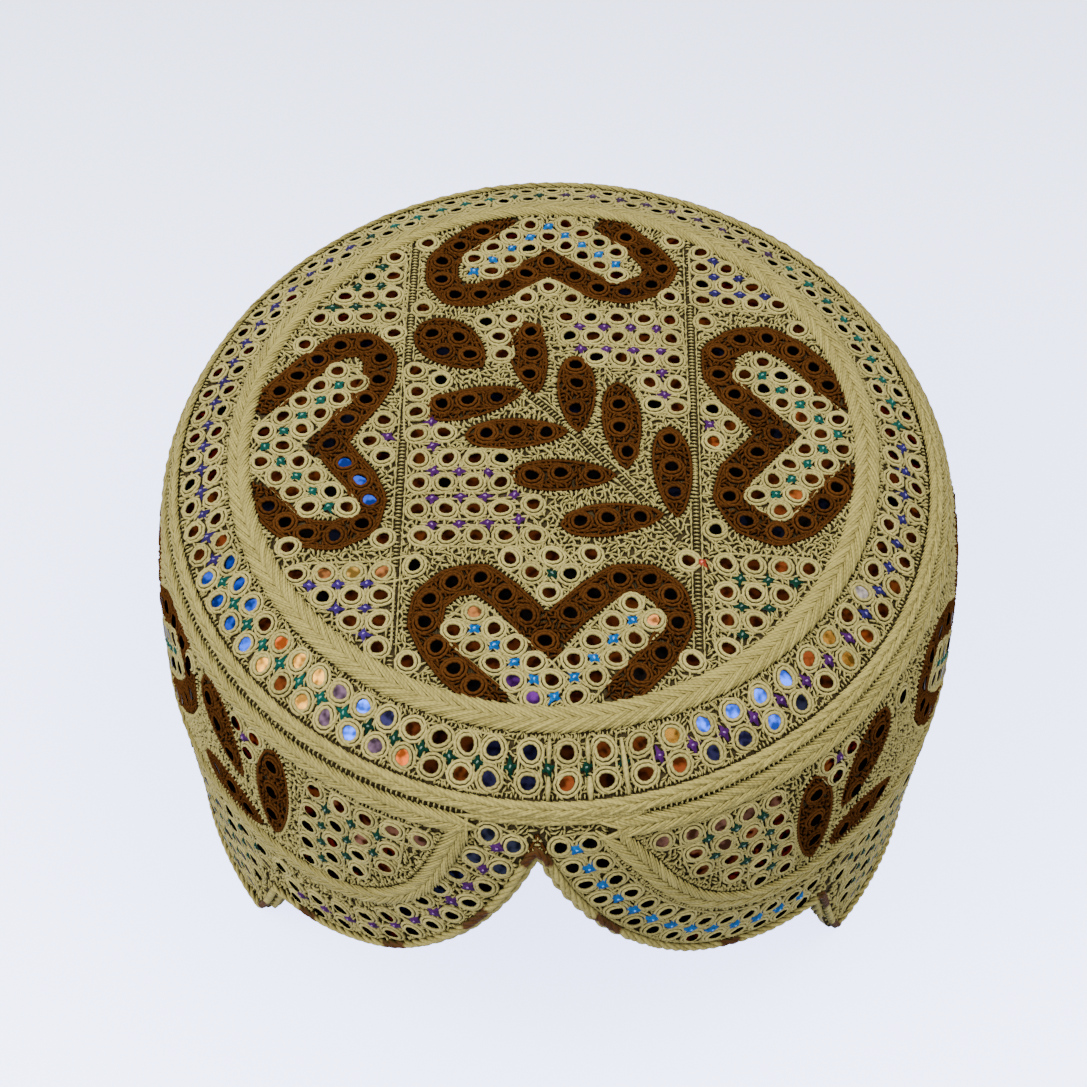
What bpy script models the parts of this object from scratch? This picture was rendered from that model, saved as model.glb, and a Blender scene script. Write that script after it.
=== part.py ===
"""Sindhi cap: a round embroidered cap with a low domed crown and a wall notched at the front.

Units are metres, +Z up. The cap rests on its hem at z = 0 with its front toward -Y,
and the origin lies on the floor under the middle of the crown.
"""
from collections import namedtuple
from math import ceil, cos, pi, radians, sin, tan

import bmesh
import bpy
from mathutils import Vector

# Driving sizes of the cloth body
CAP_RADIUS = 0.0907            # widest part of the wall, side to side
CAP_OVAL = 1.06                # front-to-back length over side-to-side width
WALL_HEIGHT = 0.0968           # hem to the seam where the crown is sewn on
BAND_WIDTH = 0.0154            # sloping ring of the crown, from its plait out to the seam
BAND_DROP = 0.0082             # how far that ring falls on its way out
DOME_RISE = 0.0040             # middle of the crown above its plait
CROWN_CLOTH = 0.0026           # quilted layers of the crown
WALL_CLOTH = 0.0028            # quilted layers of the wall
SEAM_GAP = 0.0003              # between the cut edges of the crown and the wall

# Driving sizes of the cut-out over the forehead, measured from its middle notch
NOTCH_TURN = radians(-2.2)     # the notch sits a little to the wearer's right
NOTCH_DROP = 0.0094            # notch below the crown seam
LEFT_SHOULDER = radians(41.3)  # notch to the corner where the tip starts, on the -X side
RIGHT_SHOULDER = radians(43.3)
LEFT_SHOULDER_HEIGHT = 0.0285
RIGHT_SHOULDER_HEIGHT = 0.0347
TIP_TURN = radians(8.8)        # how far round each pointed tip reaches beyond its corner
TIP_CURVE = 1.3                # 1 is a straight tip edge, more hollows it toward the floor

# Driving sizes of the braids sewn on the outside
TRIM_GAP = 0.0003              # under each braid
PLAIT_WIDTH = 0.0048
PLAIT_THICKNESS = 0.0016
RIM_WIDTH = 0.0030
RIM_THICKNESS = 0.0018
PANEL_WIDTH = 0.0052
PANEL_THICKNESS = 0.0015
PANEL_TOP_DROP = 0.0043        # middle of the panel's upper braid below the crown seam
PANEL_TIP = radians(10.0)      # notch to each point of the panel
PANEL_LEVEL_TURN = radians(55.0)   # notch to where the lower braid runs level
PANEL_LEVEL = 0.0520           # height of the level part
PANEL_TILT = 0.0020            # how much higher it runs on the right than in the middle
HEM_WIDTH = 0.0024
HEM_THICKNESS = 0.0016
HEM_LIFT = 0.0003              # hem cord above the cut edge, so that the cloth takes the weight

# Mesh steps
DOME_STEPS = 5
BAND_STEPS = 3
WALL_STEPS = (0.0, 0.05, 0.12, 0.22, 0.38, 0.58, 0.78, 0.92, 1.0)   # shares, seam to hem
TIP_STEPS = 4
BACK_STEPS = 21
BRAID_STEPS = 72
PANEL_STEPS = 52
LONGEST_RUN = 0.012            # sideways between two stations of a braid on the wall
LONGEST_CLIMB = 0.0036         # and up or down
CORNER_ROOM = 1.1              # kept clear of points at a braid's sharp corner
MAX_BEND = radians(150)
NUDGE = 1e-4                   # share of a size used to measure slopes
MITRE_LIMIT = 2.8

# The cut-out's lower edge, from the notch (0) to the shoulder (1); drop is the share left
# of the height between the two
EdgeRow = namedtuple("EdgeRow", "along height")
CUT_ROWS = (
    EdgeRow(0.00, 1.000),
    EdgeRow(0.05, 0.861),
    EdgeRow(0.10, 0.738),
    EdgeRow(0.20, 0.542),
    EdgeRow(0.30, 0.393),
    EdgeRow(0.40, 0.270),
    EdgeRow(0.50, 0.182),
    EdgeRow(0.65, 0.100),
    EdgeRow(0.80, 0.042),
    EdgeRow(1.00, 0.000),
)

# The wall's side view, as shares of its height and of the cap's radius
SideRow = namedtuple("SideRow", "height radius")
WALL_ROWS = (
    SideRow(0.000, 0.957),
    SideRow(0.308, 0.983),
    SideRow(0.590, 1.000),
    SideRow(0.802, 0.989),
    SideRow(0.908, 0.970),
    SideRow(0.956, 0.953),
    SideRow(1.000, 0.924),
)

# The lower braid of the panel, from its point (0) to its level part (1), as shares of
# the height between the upper braid and the level part
PanelRow = namedtuple("PanelRow", "along left right")
PANEL_ROWS = (
    PanelRow(0.00, 1.000, 1.000),
    PanelRow(0.10, 0.550, 0.750),
    PanelRow(0.17, 0.370, 0.550),
    PanelRow(0.27, 0.230, 0.340),
    PanelRow(0.38, 0.150, 0.210),
    PanelRow(0.49, 0.110, 0.130),
    PanelRow(0.62, 0.085, 0.085),
    PanelRow(0.78, 0.045, 0.050),
    PanelRow(1.00, 0.000, 0.000),
)

# A braid's cross-section, as shares of its half width and of its thickness
SectionRow = namedtuple("SectionRow", "across rise")
BRAID_SECTION = (
    SectionRow(-1.00, 0.00),
    SectionRow(-0.86, 0.62),
    SectionRow(-0.36, 1.00),
    SectionRow(0.36, 1.00),
    SectionRow(0.86, 0.62),
    SectionRow(1.00, 0.00),
)

RIM_RADIUS = CAP_RADIUS * WALL_ROWS[-1].radius
PLAIT_RADIUS = RIM_RADIUS - BAND_WIDTH

Station = namedtuple("Station", "centre normal across")


def curve_through(rows, place):
    """Smooth curve through (place, value) rows, read at one place."""
    last = len(rows) - 2
    index = max(0, min(last, sum(row[0] <= place for row in rows) - 1))
    before, start, end, after = (rows[max(0, min(last + 1, index + k))] for k in (-1, 0, 1, 2))
    length = end[0] - start[0]
    share = (place - start[0]) / length
    leaving = (end[1] - before[1]) / (end[0] - before[0]) * length
    arriving = (after[1] - start[1]) / (after[0] - start[0]) * length
    square, cube = share ** 2, share ** 3
    return (
        start[1] * (2 * cube - 3 * square + 1)
        + leaving * (cube - 2 * square + share)
        + end[1] * (3 * square - 2 * cube)
        + arriving * (cube - square)
    )


def oval(turn, radius, height):
    """Point at a turn from the front, on an oval of that side-to-side radius."""
    return Vector((radius * sin(turn), -radius * CAP_OVAL * cos(turn), height))


def crown_skin(turn, radius):
    """Outer side of the crown: a dome inside its plait and a sloping band outside it."""
    if radius <= PLAIT_RADIUS:
        height = BAND_DROP + DOME_RISE * (1 - (radius / PLAIT_RADIUS) ** 2)
    else:
        share = (radius - PLAIT_RADIUS) / BAND_WIDTH
        height = BAND_DROP * (1 - 0.9 * share - 0.1 * share ** 2)
    return oval(turn, radius, WALL_HEIGHT + height)


def wall_skin(turn, height):
    """Outer side of the wall."""
    radius = CAP_RADIUS * curve_through(WALL_ROWS, height / WALL_HEIGHT)
    return oval(turn, radius, height)


def slope_normal(skin, turn, place, low, high):
    """Outward normal of a skin, from points a small step apart, inside its own limits."""
    step = NUDGE * CAP_RADIUS
    along = skin(turn + NUDGE, place) - skin(turn - NUDGE, place)
    climb = skin(turn, min(high, place + step)) - skin(turn, max(low, place - step))
    normal = along.cross(climb).normalized()
    outward = oval(turn, 1, 1)
    return normal if normal.dot(outward) > 0 else -normal


def crown_normal(turn, radius):
    if radius == 0:
        return Vector((0, 0, 1))
    if radius >= RIM_RADIUS:
        return seam_normal(turn)
    return slope_normal(crown_skin, turn, radius, 0, RIM_RADIUS)


def wall_normal(turn, height):
    if height >= WALL_HEIGHT:
        return seam_normal(turn)
    return slope_normal(wall_skin, turn, height, 0, WALL_HEIGHT)


def seam_normal(turn):
    """Halfway between the crown's slope and the wall's, so that both edges face each other."""
    crown = slope_normal(crown_skin, turn, RIM_RADIUS, 0, RIM_RADIUS)
    wall = slope_normal(wall_skin, turn, WALL_HEIGHT, 0, WALL_HEIGHT)
    return (crown + wall).normalized()


def hem_height(turn):
    """Height of the wall's lower edge at a turn from the notch, between -pi and pi."""
    left = turn < 0
    shoulder = LEFT_SHOULDER if left else RIGHT_SHOULDER
    corner = LEFT_SHOULDER_HEIGHT if left else RIGHT_SHOULDER_HEIGHT
    away = abs(turn)
    if away <= shoulder:
        notch = WALL_HEIGHT - NOTCH_DROP
        return corner + (notch - corner) * curve_through(CUT_ROWS, away / shoulder)
    return corner * max(0.0, 1 - (away - shoulder) / TIP_TURN) ** TIP_CURVE


def side_turns(shoulder):
    """Turns of one side's columns: the cut-out, its tip, then evenly round to the back."""
    turns = [shoulder * row.along for row in CUT_ROWS[1:]]
    turns += [shoulder + TIP_TURN * (k + 1) / TIP_STEPS for k in range(TIP_STEPS)]
    rest = pi - turns[-1]
    turns += [turns[-1] + rest * (k + 1) / (BACK_STEPS + 1) for k in range(BACK_STEPS)]
    return turns


def column_turns():
    """Turns from the notch of every column of cloth, from behind the left round the front."""
    left = [-turn for turn in reversed(side_turns(LEFT_SHOULDER))]
    return [-pi] + left + [0.0] + side_turns(RIGHT_SHOULDER)


def make_material(name, colour, roughness):
    material = bpy.data.materials.new(name)
    material.use_nodes = True
    shader = material.node_tree.nodes["Principled BSDF"]
    shader.inputs["Base Color"].default_value = (*colour, 1)
    shader.inputs["Roughness"].default_value = roughness
    shader.inputs["Metallic"].default_value = 0
    return material


def add_object(name, mesh_builder, material, parent):
    """Turn a bmesh into a named object with its faces pointing out."""
    bmesh.ops.recalc_face_normals(mesh_builder, faces=mesh_builder.faces[:])
    mesh = bpy.data.meshes.new(name)
    mesh_builder.to_mesh(mesh)
    mesh_builder.free()
    mesh.materials.append(material)
    mesh.shade_smooth()
    mesh.set_sharp_from_angle(angle=radians(35))
    piece = bpy.data.objects.new(name, mesh)
    bpy.context.collection.objects.link(piece)
    piece.parent = parent
    return piece


def join_rings(builder, first, second):
    """Faces between two rings of the same number of corners."""
    for k in range(len(first)):
        following = (k + 1) % len(first)
        builder.faces.new((first[k], first[following], second[following], second[k]))


def add_ring(builder, points):
    return [builder.verts.new(point) for point in points]


def make_crown(material, parent):
    """Domed disc of quilted cloth, one thickness all over, open underneath."""
    turns = [NOTCH_TURN + turn for turn in column_turns()]
    radii = [PLAIT_RADIUS * (k + 1) / DOME_STEPS for k in range(DOME_STEPS)]
    radii += [PLAIT_RADIUS + BAND_WIDTH * (k + 1) / BAND_STEPS for k in range(BAND_STEPS)]
    edge = radii[-1] - SEAM_GAP / 2
    builder = bmesh.new()
    rings = {}
    for side, depth in (("outer", 0.0), ("inner", CROWN_CLOTH)):
        pole = builder.verts.new(crown_skin(0, 0) - Vector((0, 0, depth)))
        rings[side] = []
        for radius in radii:
            place = min(radius, edge)
            ring = add_ring(builder, [
                crown_skin(turn, place) - depth * crown_normal(turn, radius) for turn in turns
            ])
            rings[side].append(ring)
        for k, corner in enumerate(rings[side][0]):
            builder.faces.new((pole, rings[side][0][k - 1], corner))
        for first, second in zip(rings[side], rings[side][1:]):
            join_rings(builder, first, second)
    join_rings(builder, rings["outer"][-1], rings["inner"][-1])
    return add_object("crown", builder, material, parent)


def make_wall(material, parent):
    """Upright band of quilted cloth, cut away over the forehead, flat along the floor."""
    turns = column_turns()
    top = WALL_HEIGHT - SEAM_GAP / 2
    builder = bmesh.new()
    outer, inner = [], []
    for share in WALL_STEPS:
        outer_points, inner_points = [], []
        for turn in turns:
            height = top + (hem_height(turn) - top) * share
            azimuth = NOTCH_TURN + turn
            normal = seam_normal(azimuth) if share == 0 else wall_normal(azimuth, height)
            normal.z *= height / WALL_HEIGHT
            point = wall_skin(azimuth, height)
            outer_points.append(point)
            inner_points.append(point - WALL_CLOTH * normal)
        outer.append(add_ring(builder, outer_points))
        inner.append(add_ring(builder, inner_points))
    for sheet in (outer, inner):
        for first, second in zip(sheet, sheet[1:]):
            join_rings(builder, first, second)
    join_rings(builder, outer[0], inner[0])
    join_rings(builder, outer[-1], inner[-1])
    return add_object("wall", builder, material, parent)


def make_braid(name, stations, thickness, material, parent):
    """Closed loop of braid with a flat underside, lying on the cloth."""
    builder = bmesh.new()
    rings = []
    for station in stations:
        rings.append(add_ring(builder, [
            station.centre
            + station.across * row.across
            + station.normal * (TRIM_GAP + thickness * row.rise)
            for row in BRAID_SECTION
        ]))
    for k, ring in enumerate(rings):
        join_rings(builder, rings[k - 1], ring)
    return add_object(name, builder, material, parent)


def crown_ring(radius, width):
    """Stations of a braid round the crown."""
    stations = []
    for k in range(BRAID_STEPS):
        turn = 2 * pi * k / BRAID_STEPS
        normal = crown_normal(turn, radius)
        outward = oval(turn, 1, 0)
        outward -= normal * outward.dot(normal)
        stations.append(Station(crown_skin(turn, radius), normal, outward.normalized() * width / 2))
    return stations


def mitre(before, here, after):
    """Step to the left of a line at a corner that keeps the line's width even."""
    arriving = (here - before).normalized()
    leaving = (after - here).normalized()
    first = Vector((-arriving.y, arriving.x))
    second = Vector((-leaving.y, leaving.x))
    middle = (first + second).normalized()
    return middle * min(MITRE_LIMIT, 1 / max(middle.dot(first), 1e-6))


def corner_reach(before, here, after, width):
    """Length of a line that its inner edge loses at a corner."""
    bend = (here - before).angle(after - here)
    return CORNER_ROOM * width / 2 * tan(min(bend, MAX_BEND) / 2)


def split_line(line, width):
    """Add points to the long stretches of a closed line, clear of its sharp corners."""
    points = []
    for k, here in enumerate(line):
        before = unwrapped(line[k - 1], here)
        following = unwrapped(line[(k + 1) % len(line)], here)
        beyond = unwrapped(line[(k + 2) % len(line)], following)
        length = (following - here).length
        start = corner_reach(before, here, following, width)
        end = length - corner_reach(here, following, beyond, width)
        need = max(abs(following.x - here.x) / LONGEST_RUN, abs(following.y - here.y) / LONGEST_CLIMB)
        count = ceil(need * (end - start) / length)
        points.append(here)
        for step in range(count + 1):
            place = start + (end - start) * step / max(1, count)
            if LONGEST_CLIMB / 4 < place < length - LONGEST_CLIMB / 4:
                points.append(here.lerp(following, place / length))
    return points


def wall_stations(line, width, shift):
    """Stations of a braid on the wall, along a closed line of (arc length, height) points.

    The braid's middle is moved to the left of the line by shift half widths.
    """
    stations = []
    for k, here in enumerate(line):
        following = line[(k + 1) % len(line)]
        side = mitre(unwrapped(line[k - 1], here), here, unwrapped(following, here))
        centre = here + side * width / 2 * shift
        place = wall_skin(centre.x / CAP_RADIUS, centre.y)
        edge = centre + side * width / 2
        normal = wall_normal(centre.x / CAP_RADIUS, centre.y)
        across = wall_skin(edge.x / CAP_RADIUS, edge.y) - place
        across -= normal * across.dot(normal)
        stations.append(Station(place, normal, across.normalized() * side.length * width / 2))
    return stations


def unwrapped(point, near):
    """The same point of the wall, written on the same side of the back as another."""
    lap = 2 * pi * CAP_RADIUS
    return Vector((point.x - lap * round((point.x - near.x) / lap), point.y))


def hem_line():
    """Line along the wall's lower edge, lifted a hair, from the back round the front."""
    lift = Vector((0, HEM_LIFT))
    return [
        Vector((CAP_RADIUS * (NOTCH_TURN + turn), hem_height(turn))) + lift
        for turn in column_turns()
    ]


def panel_lower_height(turn, azimuth, column):
    """Height of the panel's lower braid at a turn from the notch."""
    level = PANEL_LEVEL + PANEL_TILT * sin(azimuth)
    top = WALL_HEIGHT - PANEL_TOP_DROP
    share = (turn - PANEL_TIP) / (PANEL_LEVEL_TURN - PANEL_TIP)
    if share >= 1:
        return level
    rows = [(row.along, getattr(row, column)) for row in PANEL_ROWS]
    return level + (top - level) * curve_through(rows, share)


def panel_line():
    """Outline of the panel: the lower braid from right to left by the back, then the upper."""
    lower = [PANEL_TIP + (PANEL_LEVEL_TURN - PANEL_TIP) * row.along for row in PANEL_ROWS]
    back = pi - PANEL_LEVEL_TURN
    half = PANEL_STEPS // 2
    lower += [PANEL_LEVEL_TURN + back * (k + 1) / half for k in range(half)]
    line = []
    for turn in lower:
        azimuth = NOTCH_TURN + turn
        line.append(Vector((CAP_RADIUS * azimuth, panel_lower_height(turn, azimuth, "right"))))
    for turn in reversed(lower[:-1]):
        azimuth = NOTCH_TURN + 2 * pi - turn
        line.append(Vector((CAP_RADIUS * azimuth, panel_lower_height(turn, azimuth, "left"))))
    first, last = line[0].x, line[-1].x
    top = WALL_HEIGHT - PANEL_TOP_DROP
    for k in range(1, PANEL_STEPS):
        line.append(Vector((last + (first - last) * k / PANEL_STEPS, top)))
    return line


def build():
    for old in list(bpy.data.objects):
        bpy.data.objects.remove(old)
    cloth = make_material("embroidered_cloth", (0.46, 0.40, 0.23), 0.85)
    braid = make_material("cream_braid", (0.56, 0.50, 0.31), 0.75)
    cap = bpy.data.objects.new("sindhi_cap", None)
    bpy.context.collection.objects.link(cap)
    make_crown(cloth, cap)
    make_wall(cloth, cap)
    make_braid("crown_plait", crown_ring(PLAIT_RADIUS, PLAIT_WIDTH), PLAIT_THICKNESS, braid, cap)
    make_braid("rim_cord", crown_ring(RIM_RADIUS, RIM_WIDTH), RIM_THICKNESS, braid, cap)
    panel = wall_stations(split_line(panel_line(), PANEL_WIDTH), PANEL_WIDTH, 0)
    make_braid("panel_braid", panel, PANEL_THICKNESS, braid, cap)
    hem = wall_stations(split_line(hem_line(), HEM_WIDTH), HEM_WIDTH, 1)
    make_braid("hem_cord", hem, HEM_THICKNESS, braid, cap)


build()
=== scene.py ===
"""Sindhi cap, dressed: quilted cloth, plaits, thread coils round small mirrors, hearts and leaves.

Charts are in millimetres, and a point on the cap is put in metres when it is laid on the cloth.
"""
from math import hypot, pi, radians, sin, tau

import bmesh
import bpy
import numpy as np
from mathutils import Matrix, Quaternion, Vector


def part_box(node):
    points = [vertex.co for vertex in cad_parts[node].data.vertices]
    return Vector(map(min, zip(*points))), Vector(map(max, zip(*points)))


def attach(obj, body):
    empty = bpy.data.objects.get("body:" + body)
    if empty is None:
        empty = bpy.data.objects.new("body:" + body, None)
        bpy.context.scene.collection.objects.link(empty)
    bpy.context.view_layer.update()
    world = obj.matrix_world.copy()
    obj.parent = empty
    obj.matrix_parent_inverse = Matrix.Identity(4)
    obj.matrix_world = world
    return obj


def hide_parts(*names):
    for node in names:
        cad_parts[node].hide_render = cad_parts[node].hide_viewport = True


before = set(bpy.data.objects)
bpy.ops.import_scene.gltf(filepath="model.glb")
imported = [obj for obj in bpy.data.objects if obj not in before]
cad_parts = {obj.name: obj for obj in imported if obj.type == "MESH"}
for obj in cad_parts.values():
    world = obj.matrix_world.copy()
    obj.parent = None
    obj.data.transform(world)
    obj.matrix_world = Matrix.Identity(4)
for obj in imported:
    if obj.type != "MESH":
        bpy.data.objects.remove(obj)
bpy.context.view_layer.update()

# Camera, floor and light. The cap stands on a pale table with a painted glow, stronger towards the front
# and mostly seen by the camera, and is seen from above its front in the flat light of a white room.
EYE = Vector((-0.0013, -0.3568, 0.5260))
LOOKED_AT = Vector((-0.0032, -0.0276, 0.1050))
ROLL = radians(0.66)
camera_data = bpy.data.cameras.new("camera")
camera_data.sensor_width = 36
camera_data.lens = 84.0
camera = bpy.data.objects.new("camera", camera_data)
bpy.context.collection.objects.link(camera)
aim = (LOOKED_AT - EYE).to_track_quat("-Z", "Y")
camera.rotation_mode = "QUATERNION"
camera.rotation_quaternion = aim @ Quaternion((0, 0, 1), ROLL)
camera.location = EYE
bpy.context.scene.camera = camera

FLOOR_REACH = 3.0
floor_mesh = bpy.data.meshes.new("floor")
floor_corners = [(x * FLOOR_REACH, y * FLOOR_REACH, 0) for x, y in ((-1, -1), (1, -1), (1, 1), (-1, 1))]
floor_mesh.from_pydata(floor_corners, [], [(0, 1, 2, 3)])
floor = bpy.data.objects.new("floor", floor_mesh)
bpy.context.collection.objects.link(floor)
floor_material = bpy.data.materials.new("pale_table")
floor_material.use_nodes = True
floor_shader = floor_material.node_tree.nodes["Principled BSDF"]
floor_shader.inputs["Base Color"].default_value = (0.55, 0.585, 0.67, 1)
floor_shader.inputs["Roughness"].default_value = 0.9
floor_shader.inputs["Specular IOR Level"].default_value = 0.1
floor_shader.inputs["Emission Color"].default_value = (1.04, 1.17, 1.87, 1)
floor_nodes, floor_links = floor_material.node_tree.nodes, floor_material.node_tree.links
floor_place = floor_nodes.new("ShaderNodeTexCoord")
floor_split = floor_nodes.new("ShaderNodeSeparateXYZ")
floor_links.new(floor_place.outputs["Object"], floor_split.inputs[0])
# Painted glow of the floor: an emission that grows towards the front
floor_painted_glow = floor_nodes.new("ShaderNodeMapRange")     # stronger towards the front
floor_painted_glow.inputs["From Min"].default_value = -0.10
floor_painted_glow.inputs["From Max"].default_value = 0.27
floor_painted_glow.inputs["To Min"].default_value = 2.85
floor_painted_glow.inputs["To Max"].default_value = 1.0
floor_links.new(floor_split.outputs["Y"], floor_painted_glow.inputs["Value"])
# Painted glow: the camera sees the full glow, other rays only a tenth of it
floor_path = floor_nodes.new("ShaderNodeLightPath")
floor_painted_glow_to_camera = floor_nodes.new("ShaderNodeMix")
floor_painted_glow_to_camera.inputs["A"].default_value = 0.1
floor_links.new(floor_path.outputs["Is Camera Ray"], floor_painted_glow_to_camera.inputs["Factor"])
floor_links.new(floor_painted_glow.outputs["Result"], floor_painted_glow_to_camera.inputs["B"])
floor_links.new(floor_painted_glow_to_camera.outputs["Result"], floor_shader.inputs["Emission Strength"])
floor_mesh.materials.append(floor_material)

world = bpy.data.worlds.new("white_room")
bpy.context.scene.world = world
world.use_nodes = True
room = world.node_tree.nodes["Background"]
room.inputs["Color"].default_value = (0.93, 0.95, 1.0, 1)
room_path = world.node_tree.nodes.new("ShaderNodeLightPath")
room_seen = world.node_tree.nodes.new("ShaderNodeMix")
room_seen.inputs["A"].default_value = 1.5
room_seen.inputs["B"].default_value = 2.9
world.node_tree.links.new(room_path.outputs["Is Camera Ray"], room_seen.inputs["Factor"])
world.node_tree.links.new(room_seen.outputs["Result"], room.inputs["Strength"])


def add_lamp(name, place, size, power, target=(0, 0, 0.06)):
    lamp_data = bpy.data.lights.new(name, "AREA")
    lamp_data.shape = "DISK"
    lamp_data.size = size
    lamp_data.energy = power
    lamp = bpy.data.objects.new(name, lamp_data)
    lamp.location = place
    lamp.rotation_euler = (Vector(target) - Vector(place)).to_track_quat("-Z", "Y").to_euler()
    bpy.context.collection.objects.link(lamp)


add_lamp("window_left", (-0.7, -0.24, 0.9), 0.9, 19.5)
add_lamp("window_right", (0.5, 0.05, 1.2), 1.0, 17.0)

# Cloth body. Two quilted cotton pieces, a domed round crown and a tall wall, sewn edge to edge.
# The wall is cut away over the forehead into two lobes with a notch between them, and it
# stands on its hem. Embroidery hides the outside, and the inside is bare cotton.
MM = 0.001
OVAL = 1.06
CAP_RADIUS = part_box("wall")[1][0] / MM
WALL_HEIGHT = 96.8
BAND_WIDTH = 15.4
BAND_DROP = 8.2
DOME_RISE = 4.0
PILE = 0.9          # thickness of the embroidery, whose top is level with the plain solid
WALL_CLOTH = 2.8
CROWN_CLOTH = 2.6
SIDE_ROWS = (      # share of the wall's height, share of the cap's radius
    (0.000, 0.957), (0.308, 0.983), (0.590, 1.000), (0.802, 0.989),
    (0.908, 0.970), (0.956, 0.953), (1.000, 0.924),
)
CUT_ROWS = (       # share of the way from notch to shoulder, share of the height left
    (0.00, 1.000), (0.05, 0.861), (0.10, 0.738), (0.20, 0.542), (0.30, 0.393),
    (0.40, 0.270), (0.50, 0.182), (0.65, 0.100), (0.80, 0.042), (1.00, 0.000),
)
NOTCH_TURN = radians(-2.2)
NOTCH_DROP = 9.4
SHOULDER = {"left": radians(41.3), "right": radians(43.3)}
SHOULDER_HEIGHT = {"left": 28.5, "right": 34.7}
TIP_TURN = radians(8.8)
TIP_CURVE = 1.3
RIM_RADIUS = CAP_RADIUS * SIDE_ROWS[-1][1]
PLAIT_RADIUS = RIM_RADIUS - BAND_WIDTH
PLAIT_HEIGHT = WALL_HEIGHT + BAND_DROP


def smooth_curve(rows, places):
    """Smooth curve through (place, value) rows, read at an array of places."""
    xs, ys = np.array(rows).T
    slopes = np.gradient(ys, xs)
    slopes[1:-1] = (ys[2:] - ys[:-2]) / (xs[2:] - xs[:-2])
    k = np.clip(np.searchsorted(xs, places, side="right") - 1, 0, len(xs) - 2)
    length = xs[k + 1] - xs[k]
    t = (places - xs[k]) / length
    return (
        ys[k] * (2 * t ** 3 - 3 * t ** 2 + 1) + slopes[k] * length * (t ** 3 - 2 * t ** 2 + t)
        + ys[k + 1] * (3 * t ** 2 - 2 * t ** 3) + slopes[k + 1] * length * (t ** 3 - t ** 2)
    )


# The side view as one line from the hem, over the seam and the crown's plait, onto the dome
wall_share = np.linspace(0, 1, 160)
band_share = np.linspace(0, 1, 60)[1:]
dome_radius = PLAIT_RADIUS - np.linspace(0, 8, 20)[1:]
side_radius = np.concatenate([
    CAP_RADIUS * smooth_curve(SIDE_ROWS, wall_share), RIM_RADIUS - BAND_WIDTH * band_share, dome_radius,
])
side_height = np.concatenate([
    WALL_HEIGHT * wall_share,
    WALL_HEIGHT + BAND_DROP * (1 - 0.9 * (1 - band_share) - 0.1 * (1 - band_share) ** 2),
    PLAIT_HEIGHT + DOME_RISE * (1 - (dome_radius / PLAIT_RADIUS) ** 2),
])
side_length = np.concatenate([[0], np.cumsum(np.hypot(np.diff(side_radius), np.diff(side_height)))])
SEAM = float(side_length[len(wall_share) - 1])
SIDE_TOP = float(side_length[len(wall_share) + len(band_share) - 1])
ARC = 92.5
side_lean = np.stack([np.gradient(side_height, side_length), -np.gradient(side_radius, side_length)])


def up_the_side(height):
    """Length along the cloth from the hem up to a height on the wall."""
    return np.interp(height, side_height, side_length)


def on_side(azimuth, length):
    """Points and outward normals on the wall and the crown's band, in metres."""
    azimuth, length = np.broadcast_arrays(azimuth, length)
    radius = np.interp(length, side_length, side_radius)
    height = np.interp(length, side_length, side_height)
    out = np.interp(length, side_length, side_lean[0])
    up = np.interp(length, side_length, side_lean[1])
    points = np.stack([radius * np.sin(azimuth), -OVAL * radius * np.cos(azimuth), height], -1)
    normals = np.stack([OVAL * out * np.sin(azimuth), -out * np.cos(azimuth), OVAL * up], -1)
    normals /= np.linalg.norm(normals, axis=-1, keepdims=True)
    return (points - PILE * normals) * MM, normals


def on_crown(x, y):
    """Points and outward normals on the crown's dome, in metres."""
    rise = DOME_RISE * (1 - (x ** 2 + (y / OVAL) ** 2) / PLAIT_RADIUS ** 2)
    points = np.stack([x, y, PLAIT_HEIGHT + rise], -1)
    slope = 2 * DOME_RISE / PLAIT_RADIUS ** 2
    normals = np.stack([slope * x, slope * y / OVAL ** 2, np.ones_like(x)], -1)
    normals /= np.linalg.norm(normals, axis=-1, keepdims=True)
    return (points - PILE * normals) * MM, normals


def crown_lean(azimuth):
    """How far up the cloth the crown's plait and ring sit, since they lie a little to the left."""
    return 1.7 * np.sin(azimuth) + 0.4 * np.cos(azimuth)


def crown_reach(x, y):
    """Distance of crown places from the middle of the plait, the oval made round."""
    return np.hypot(np.asarray(x) + 1.7, (np.asarray(y) - 0.4) / OVAL)


def hem_height(turn):
    """Height of the wall's lower edge at a turn from the notch, between -pi and pi."""
    side = "left" if turn < 0 else "right"
    away = abs(turn)
    corner = SHOULDER_HEIGHT[side]
    if away <= SHOULDER[side]:
        drop = smooth_curve(CUT_ROWS, np.array(away / SHOULDER[side]))
        return float(corner + (WALL_HEIGHT - NOTCH_DROP - corner) * drop)
    return corner * max(0.0, 1 - (away - SHOULDER[side]) / TIP_TURN) ** TIP_CURVE


def hem_turns():
    """Turns from the notch of the wall's columns, close together along the cut-out."""
    turns = []
    for side, sign in (("left", -1), ("right", 1)):
        cut = [SHOULDER[side] * (k / 32) ** 1.3 for k in range(1, 33)]
        tip = [SHOULDER[side] + TIP_TURN * k / 10 for k in range(1, 11)]
        back = [tip[-1] + (pi - tip[-1]) * k / 40 for k in range(1, 41 if side == "left" else 40)]
        turns += [sign * turn for turn in cut + tip + back]
    return np.array(sorted(turns + [0.0]))


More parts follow.
